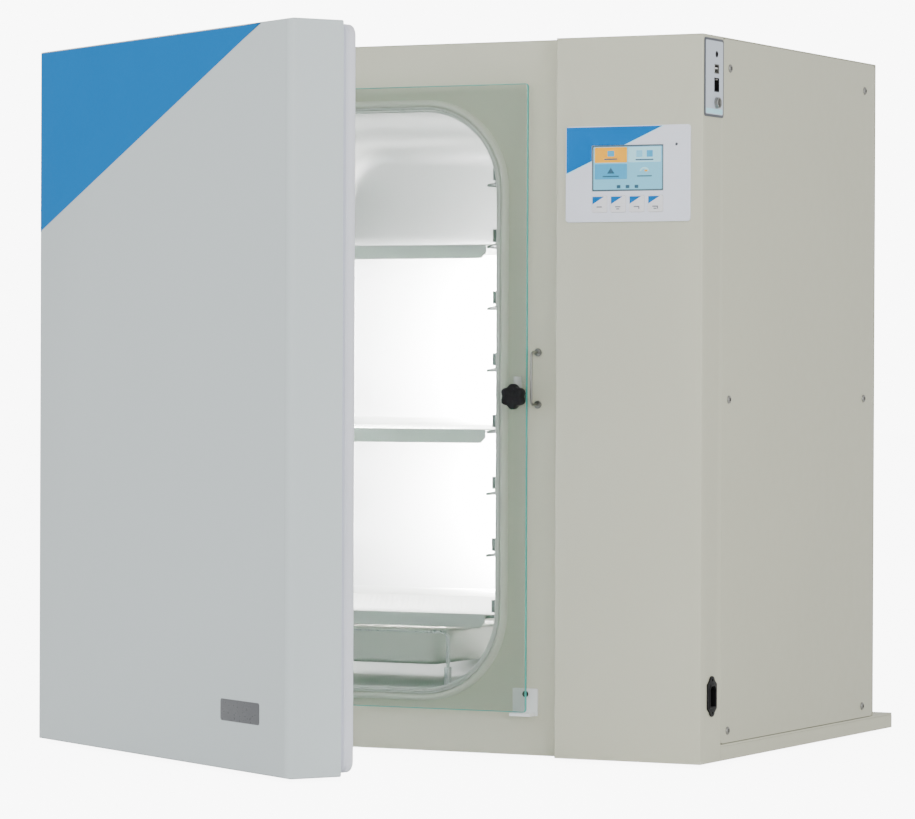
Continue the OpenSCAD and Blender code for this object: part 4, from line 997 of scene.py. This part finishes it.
def bezel():
    """The panel's moulded plate, its printed corner and the pale line beside it."""
    mid = middle(BEZEL, BEZEL_HIGH)
    w, h = BEZEL_HIGH.x - BEZEL.x, BEZEL_HIGH.z - BEZEL.z
    lift = 0.12 * MM
    shape = Shape()
    shape.plate(facing_y(mid.x, mid.z), w, h, 4 * MM, BEZEL.y + lift, BEZEL_HIGH.y, 0.9 * MM)
    plate = shape.piece("panel_bezel", BEZEL_FILM, "cabinet", "bezel_film", ["control_bezel"])
    cut_away(plate, bezel_openings())
    inset, run, drop, line = 1.2 * MM, 0.78 * w, 0.49 * h, 1.6 * MM
    place = facing_y(BEZEL.x, BEZEL_HIGH.z)
    triangle = [(inset, -inset), (inset, -drop), (run, -inset)]
    stripe = [(inset, -drop), (inset, -drop - line), (run + 1.4 * line, -inset), (run, -inset)]
    # The pale line is print that glows with the display's pale finish: painted light.
    for name, outline, material in (("panel_blue_corner", triangle, PANEL_BLUE),
                                    ("panel_pale_line", stripe, PALE_GLOW)):
        printed = Shape()
        printed.extrude(place, outline, BEZEL.y, BEZEL.y + 2 * lift)
        cut_away(printed.piece(name, material, "cabinet", "bezel_film"), bezel_openings(), None)


def rounded(cx, cy, w, h, r):
    """A rounded rectangle's outline about any middle."""
    return [(cx + u, cy + v) for u, v in round_rect(w, h, r, 4)]


def screen():
    """The display: a dark rim, a lit field and four tiles with plain icons."""
    mid = middle(SCREEN, SCREEN_HIGH)
    w, h = SCREEN_HIGH.x - SCREEN.x, SCREEN_HIGH.z - SCREEN.z
    place = facing_y(mid.x, mid.z)
    back, blue, pale, amber, ink = range(1, 6)
    layer, deep = SCREEN.y + 0.3 * MM, 8 * MM
    shape = Shape()
    shape.plate(place, w, h, 1 * MM, layer, SCREEN.y + deep, 0.3 * MM)
    marks = []

    def mark(outline, depth, index):
        shape.extrude(place, outline, layer - depth * MM, layer + 0.05 * MM, index)

    mark(rounded(0, 0, w - 3.4 * MM, h - 3.4 * MM, 1 * MM), 0.06, back)
    tile_w, tile_h, gap = 0.455 * w, 0.335 * h, 0.018 * w
    top = 0.5 * h - 2.4 * MM - 0.5 * tile_h
    low_row = top - tile_h - 1.6 * MM
    tiles = [(-1, top, amber), (1, top, pale), (-1, low_row, blue), (1, low_row, back)]
    for side, y, index in tiles:
        x = side * (0.5 * tile_w + gap / 2)
        mark(rounded(x, y, tile_w, tile_h, 1.2 * MM), 0.12, index)
        marks.append((x, y))
    (ax, ay), (bx, by), (cx, cy), (dx, dy) = marks
    u = 0.001 * w / 0.0956
    bars = [(ax, ay + 1.6 * u, 9, 7, blue), (ax, ay - 5.2 * u, 18, 1.6, ink),
            (bx - 7 * u, by + u, 8, 8, back), (bx + 7 * u, by + u, 8, 8, blue),
            (bx, by - 6.4 * u, 24, 1.6, ink), (cx, cy - 6 * u, 22, 1.6, ink), (dx, dy - 6 * u, 20, 1.4, ink)]
    for x, y, a, b, index in bars:
        mark(rounded(x, y, a * u, b * u, 0.6 * u), 0.18, index)
    mark([(cx - 5 * u, cy - 2.5 * u), (cx + 5 * u, cy - 2.5 * u), (cx, cy + 5 * u)], 0.18, ink)
    gauge = arc((dx, dy - 2 * u), 7 * u, 20, 160, 10) + arc((dx, dy - 2 * u), 5 * u, 160, 20, 10)
    mark(gauge, 0.18, pale)
    mark(rounded(dx + 2 * u, dy + 0.5 * u, 4 * u, 2 * u, 0.4 * u), 0.2, amber)
    for k in range(3):
        mark(rounded((-12 + 12 * k) * u, -0.5 * h + 5.2 * u, 5 * u, 4 * u, 0.8 * u), 0.18, ink)
    materials = [SCREEN_GLASS, LCD_BACK, LCD_BLUE, PALE_GLOW, LCD_AMBER, LCD_INK]
    shape.piece("panel_screen", materials, "cabinet", "screen_glass", ["display_screen"])


def key(i):
    """A moulded key with a printed corner and one plain mark."""
    low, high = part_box(KEYS[i])
    mid = middle(low, high)
    size = high.x - low.x
    place = facing_y(mid.x, mid.z)
    half = size / 2 - 1.1 * MM
    shape = Shape()
    lift = 0.1 * MM
    shape.plate(place, size, size, 2 * MM, low.y + lift, high.y, 0.6 * MM)
    shape.extrude(place, [(-half, half), (-half, half - 0.45 * size), (-half + 0.75 * size, half)],
                  low.y, low.y + 2 * lift, 1)
    u = size / 20
    lines, post = [(0, -3.4, 7, 1.4), (0, -6.0, 4, 1.4)], [(3.2, -4.6, 1.4, 3.6)]
    for x, y, w, h in lines[:1 + i % 2] + post[:i // 2]:
        shape.extrude(place, rounded(x * u, y * u, w * u, h * u, 0.4 * u), low.y, low.y + 2 * lift, 2)
    shape.piece("menu_key_cap_%d" % (i + 1), [KEY_PLASTIC, PANEL_BLUE, GLYPH_INK], "menu_key_%d" % (i + 1),
                "key_plastic", [KEYS[i]])


def status_led():
    """The indicator's domed lens."""
    low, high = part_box("status_led")
    mid, r = middle(low, high), (high.x - low.x) / 2
    deep = high.y - low.y
    dome = [(1, 0), (1, deep - 0.9 * MM), (0.85, deep - 0.35 * MM), (0.45, deep - 0.05 * MM), (0.1, deep)]
    shape = Shape()
    shape.lathe((mid.x, high.y, mid.z), (0, -1, 0), [(k * r, d) for k, d in dome], 24)
    shape.piece("status_lens", LENS, "cabinet", "led_lens", ["status_led"], 50)


# ---- sockets ---------------------------------------------------------------------------------

PLATE, PLATE_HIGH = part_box("port_plate")
PORTS, PORTS_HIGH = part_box("service_ports")
PORT_Y = (PORTS.y + PORTS_HIGH.y) / 2
JACK_UP, DATA_UP, NET_UP, ROUND_UP = 77 * MM, 59 * MM, 39.5 * MM, 17.5 * MM


def port_plate():
    """The sockets' plate: pale film inside a dark outline, with a hole for each socket."""
    mid = middle(PLATE, PLATE_HIGH)
    place = facing_x(mid.y, mid.z)
    w, h = PLATE_HIGH.y - PLATE.y, PLATE_HIGH.z - PLATE.z
    lift = 0.12 * MM
    shape = Shape()
    shape.plate(place, w, h, 4 * MM, PLATE_HIGH.x - lift, PLATE.x, 0.4 * MM, index=1)
    under, stripe_lift = PLATE_HIGH.x - 3 * lift, 0.04 * MM
    shape.extrude(place, rounded(0, 0, w - 6 * MM, h - 6 * MM, 2.4 * MM), PLATE_HIGH.x, under)
    # The stripe is print that glows with the display's pale finish: painted light.
    stripe = rounded(0, -0.5 * h + 7 * MM, w - 9 * MM, 6 * MM, 1 * MM)
    shape.extrude(place, stripe, PLATE_HIGH.x + stripe_lift, under, 2)
    plate = shape.piece("port_label_plate", [PLATE_FILM, OUTLINE, PALE_GLOW], "cabinet", "plate_film",
                        ["port_plate"])
    holes = Shape()
    reach = 4 * MM
    for up, r in ((JACK_UP, 4 * MM), (ROUND_UP, 7.1 * MM)):
        holes.lathe((PLATE.x - reach, PORT_Y, PLATE.z + up), (1, 0, 0), [(r, 0), (r, 3 * reach)], 32)
    for up, a, b in ((DATA_UP, 7.3, 5.9), (NET_UP, 7.5, 8.7)):
        z = PLATE.z + up
        holes.box((PLATE.x - reach, PORT_Y - a * MM, z - b * MM),
                  (PLATE.x + reach, PORT_Y + a * MM, z + b * MM))
    cut_away(plate, holes)


def hollow_box(shape, x_front, x_back, y, z, a, b, wall, deep, index=0):
    """A socket shell: a rectangular tube with a floor, mouth towards +X."""
    place = facing_x(y, z)
    stations = [(-wall, -wall, x_front - deep), (-wall, -wall, x_front - 0.3 * MM),
                (-0.6 * wall, -0.6 * wall, x_front), (-0.3 * wall, -0.3 * wall, x_front),
                (0, 0, x_front - 0.3 * MM), (0, 0, x_back)]
    shape.stack(place, a, b, 0.8 * MM, stations, index=index, per_corner=3)


def service_ports():
    """A small jack, a data socket, a network socket and a round screw connector."""
    front, back = PLATE_HIGH.x + 0.4 * MM, PORTS.x
    shape = Shape()
    z = PLATE.z
    bore = [(1.8, -11), (1.8, -.2), (2.1, 0), (3.6, 0), (3.9, -.3), (3.9, -13)]
    shape.lathe((front, PORT_Y, z + JACK_UP), (1, 0, 0), mm(bore), 28)
    hollow_box(shape, front, back, PORT_Y, z + DATA_UP, 14.2 * MM, 11.4 * MM, 0.9 * MM, 11 * MM, 1)
    shape.box((front - 10 * MM, PORT_Y - 5 * MM, z + DATA_UP + 0.2 * MM),
              (front - 1.2 * MM, PORT_Y + 5 * MM, z + DATA_UP + 1.8 * MM), 0.2 * MM, 2)
    hollow_box(shape, front, back, PORT_Y, z + NET_UP, 14.6 * MM, 17.0 * MM, 1.3 * MM, 11 * MM)
    shape.box((front - 9 * MM, PORT_Y - 3 * MM, z + NET_UP + 5.8 * MM),
              (front - 0.2 * MM, PORT_Y + 3 * MM, z + NET_UP + 7.4 * MM), 0.2 * MM, 1)
    collar = [(4.8, -8), (4.8, 3.4), (5.2, 4), (6.2, 4), (6.6, 3.6), (6.6, 2.4), (6.2, 2.1), (6.6, 1.8),
              (6.6, 1), (6.9, .8), (6.9, -13)]
    shape.lathe((front, PORT_Y, z + ROUND_UP), (1, 0, 0), mm(collar), 36, 1)
    pins, pin_circle, pin = 5, 2.4 * MM, [(0.5, 0), (0.5, 5), (0.2, 5.5)]
    for k in range(pins):
        a = math.radians(360 / pins * k)
        across, up = pin_circle * math.cos(a), pin_circle * math.sin(a)
        shape.lathe((front - 7.9 * MM, PORT_Y + across, z + ROUND_UP + up), (1, 0, 0), mm(pin), 8, 1)
    shape.piece("service_sockets", [SOCKET_BLACK, SCREW_STEEL, WHITE_PLASTIC], "cabinet", "black_plastic",
                ["service_ports"])


def power_inlet():
    """A mains inlet: an eared flange, a raised throat with the usual cut corners, and three blades."""
    low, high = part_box("power_inlet")
    y, z = (low.y + high.y) / 2, (low.z + high.z) / 2
    face, wall = high.x, COLUMN_HIGH.x
    ear, reach = 8 * MM, 17 * MM
    w, flat = (high.y - low.y) / 2, reach - 2 * MM
    outline = [(w, -flat), (w, flat)] + arc((0, reach), ear, 20, 160, 10)
    outline += [(-w, flat), (-w, -flat)] + arc((0, -reach), ear, 200, 340, 10)
    place = facing_x(y, z)
    a, b, c = 8.5 * MM, 12.5 * MM, 4 * MM
    throat = [(a, -b), (a, b - c), (a - c, b), (-a + c, b), (-a, b - c), (-a, -b)]

    def grown(stations):
        return [[place(u, v, x) for u, v in offset(throat, grow * MM)] for grow, x in stations]

    shape, bed, shell = Shape(), Shape(), Shape()
    slab(shape, place, outline, face - 0.9 * MM, wall, 0.5 * MM)
    bed.skin(grown([(1.0, face - 18.6 * MM), (1.0, face + 2 * MM)]))
    screw_hole = [(1.7, 0), (1.7, 3), (3.2, 4.2)]
    for s in (-1, 1):
        bed.lathe((wall - MM, y, z + s * 20 * MM), (1, 0, 0), mm(screw_hole), 20)
    inlet = shape.piece("mains_inlet", [SOCKET_BLACK, SCREW_STEEL], "cabinet", "black_plastic",
                        ["power_inlet"])
    cut_away(inlet, bed)
    shell.skin(grown([(1.9, wall - 24 * MM), (1.9, face - 0.4 * MM), (1.5, face), (0.4, face),
                      (0, face - 0.4 * MM), (0, face - 19 * MM)]))
    for u, v in ((-3, 7), (3, 0), (-3, -7)):
        shell.box((face - 19.3 * MM, y + (u - 1) * MM, z + (v - 2) * MM),
                  (face - 7 * MM, y + (u + 1) * MM, z + (v + 2) * MM), 0.5 * MM, 1)
    shell.piece("mains_throat", [SOCKET_BLACK, SCREW_STEEL], "cabinet", "black_plastic")


# ---- parts that keep the CAD shape ----------------------------------------------------------

def plain_parts():
    """Nodes with only their edges softened, and hidden ones that stay as they are."""
    for node, material, slot, edge in (
            ("base_plate", PAINT, "cabinet_paint", 0.6), ("top_panel", PAINT, "cabinet_paint", 0.45),
            ("left_panel", PAINT, "cabinet_paint", 0.3), ("rear_panel", PAINT, "cabinet_paint", 0.3),
            ("runner_uprights", SHADED_RUNNER_STEEL, "stainless", 0.4),
            ("co2_sensor", WHITE_PLASTIC, "sensor_body", 0.8),
            # the uprights take the runners' near-black steel, painted shade
            ("fan_impeller", SHELF_STEEL, "stainless", 0.25), ("fan_guard", SHELF_STEEL, "stainless", 0.3),
            ("glass_hinge_clamps", HINGE_STEEL, "bright_metal", 0.4),
            ("glass_hinge_brackets", HINGE_STEEL, "bright_metal", 0.4),
            ("latch_bush", ROD_STEEL, "bright_metal", 0.3),
            ("latch_tongue", TONGUE_STEEL, "bright_metal", 0.4),
            ("glass_rest_block", WHITE_PLASTIC, "white_plastic", 0.7),
            ("rest_block_screw", KNOB_BLACK, "black_plastic", 0.5),
            ("outer_hinge_door_leaves", HINGE_STEEL, "bright_metal", 0.5),
            ("outer_hinge_cabinet_leaves", HINGE_STEEL, "bright_metal", 0.5),
            ("outer_hinge_pins", ROD_STEEL, "bright_metal", 0.5), ("gas_inlet", BRASS, "brass", 0.4)):
        refined(node, material, edge * MM)
    for material, nodes in ((PAINT, ("base_rails", "front_fascia", "divider_panel")),
                            (WOOL, ("insulation_panels", "door_insulation")),
                            (HEATER_FILM, ("heater_mats",)), (KNOB_BLACK, ("fan_motor",)),
                            (ROD_STEEL, ("fan_shaft",)), (BOARD_GREEN, ("display_board", "main_board"))):
        for node in nodes:
            keep(node, material)


# ---- camera, floor and light -----------------------------------------------------------------

def camera():
    """The photograph's view: 2.5 m to the right, 5.1 m in front, at mid height, with a long lens."""
    place = (2.5197, -5.1383, 0.4761)
    yaw, pitch, roll = (math.radians(a) for a in (26.525, -0.4411, 0.2232))
    forward = Vector((-math.sin(yaw) * math.cos(pitch), math.cos(yaw) * math.cos(pitch), math.sin(pitch)))
    right = Vector((math.cos(yaw), math.sin(yaw), 0))
    up = right.cross(forward)
    side = math.cos(roll) * right + math.sin(roll) * up
    top = -math.sin(roll) * right + math.cos(roll) * up
    data = bpy.data.cameras.new("camera")
    data.lens, data.sensor_width = 170.53, 36
    data.clip_end = 100
    obj = bpy.data.objects.new("camera", data)
    obj.matrix_world = Matrix(((side.x, top.x, -forward.x, place[0]), (side.y, top.y, -forward.y, place[1]),
                               (side.z, top.z, -forward.z, place[2]), (0, 0, 0, 1)))
    link(obj)
    bpy.context.scene.camera = obj


BACKDROP, SKY = 9.0, 0.9


def seen_only(nodes, links, strength):
    """A glow that the camera sees and that lights nothing, for a white studio background."""
    path = nodes.new("ShaderNodeLightPath")
    scale = nodes.new("ShaderNodeMath")
    scale.operation = "MULTIPLY"
    scale.inputs[1].default_value = strength
    links.new(path.outputs["Is Camera Ray"], scale.inputs[0])
    return scale.outputs[0]


def floor():
    """A white floor that the part stands on."""
    bm = bmesh.new()
    bmesh.ops.create_grid(bm, x_segments=8, y_segments=8, size=30)
    obj = to_object(bm, "floor")
    finish = Finish("floor", (0.93, 0.93, 0.93), 0.6, Emission_Color=(1, 1, 1, 1))
    finish.tint(finish.remap(finish.noise(12, 2), 0, 0.3), (0.90, 0.90, 0.90))
    glow = seen_only(finish.nodes, finish.links, BACKDROP - 1)
    finish.links.new(glow, finish.bsdf.inputs["Emission Strength"])
    obj.data.materials.append(finish.mat)
    link(obj)


def area(name, place, target, size, watts):
    """A rectangular lamp that the camera doesn't see, turned towards a target."""
    data = bpy.data.lights.new(name, "AREA")
    data.shape = "RECTANGLE"
    data.size, data.size_y = size
    data.energy = watts
    obj = bpy.data.objects.new(name, data)
    obj.location = place
    way = Vector(target) - Vector(place)
    obj.rotation_euler = way.to_track_quat("-Z", "Y").to_euler()
    obj.visible_camera = False
    link(obj)


def lights():
    """An even sky, two lamps in front and one inside the chamber's mouth."""
    world = bpy.data.worlds.new("world")
    world.use_nodes = True
    nodes, links = world.node_tree.nodes, world.node_tree.links
    sky = nodes["Background"]
    sky.inputs[0].default_value = (1, 1, 1, 1)
    plus = nodes.new("ShaderNodeMath")
    plus.operation = "ADD"
    plus.inputs[1].default_value = SKY
    links.new(seen_only(nodes, links, BACKDROP - SKY), plus.inputs[0])
    links.new(plus.outputs[0], sky.inputs[1])
    bpy.context.scene.world = world
    area("key", (-1.2, -4.2, 3.2), (0, 0, 0.4), (2.4, 2.0), 60)
    area("fill", (3.6, -2.6, 1.4), (0.2, 0, 0.40), (2.0, 2.0), 58)
    glow = CHAMBER_Z + 5 * MM
    area("chamber", (CHAMBER_X, FASCIA.y + 40 * MM, glow), (CHAMBER_X, CHAMBER_BACK, glow), (0.34, 0.40), 72)


def build():
    """Every piece, one after another."""
    for make in (camera, floor, lights, plain_parts, door_shell, door_inner_panel, door_gasket,
                 door_decal, door_nameplate, rubber_feet, column_cover, side_cover):
        make()
    crossed_screws("side_cover_screws_crossed", "side_cover_screws", "x", "zinc_screw")
    crossed_screws("rear_panel_screws_crossed", "rear_panel_screws", "y", "zinc_screw")
    chamber_liner()
    chamber_gasket()
    runners(-1, "left_runners")
    runners(1, "right_runners")
    for level in ("lower", "middle", "upper"):
        shelf(level + "_shelf", level + "_shelf_tray")
    for make in (water_pan, pan_stand, glass_pane, star_knob, keeper, bezel, screen):
        make()
    for i in range(len(KEYS)):
        key(i)
    for make in (status_led, port_plate, service_ports, power_inlet):
        make()


build()
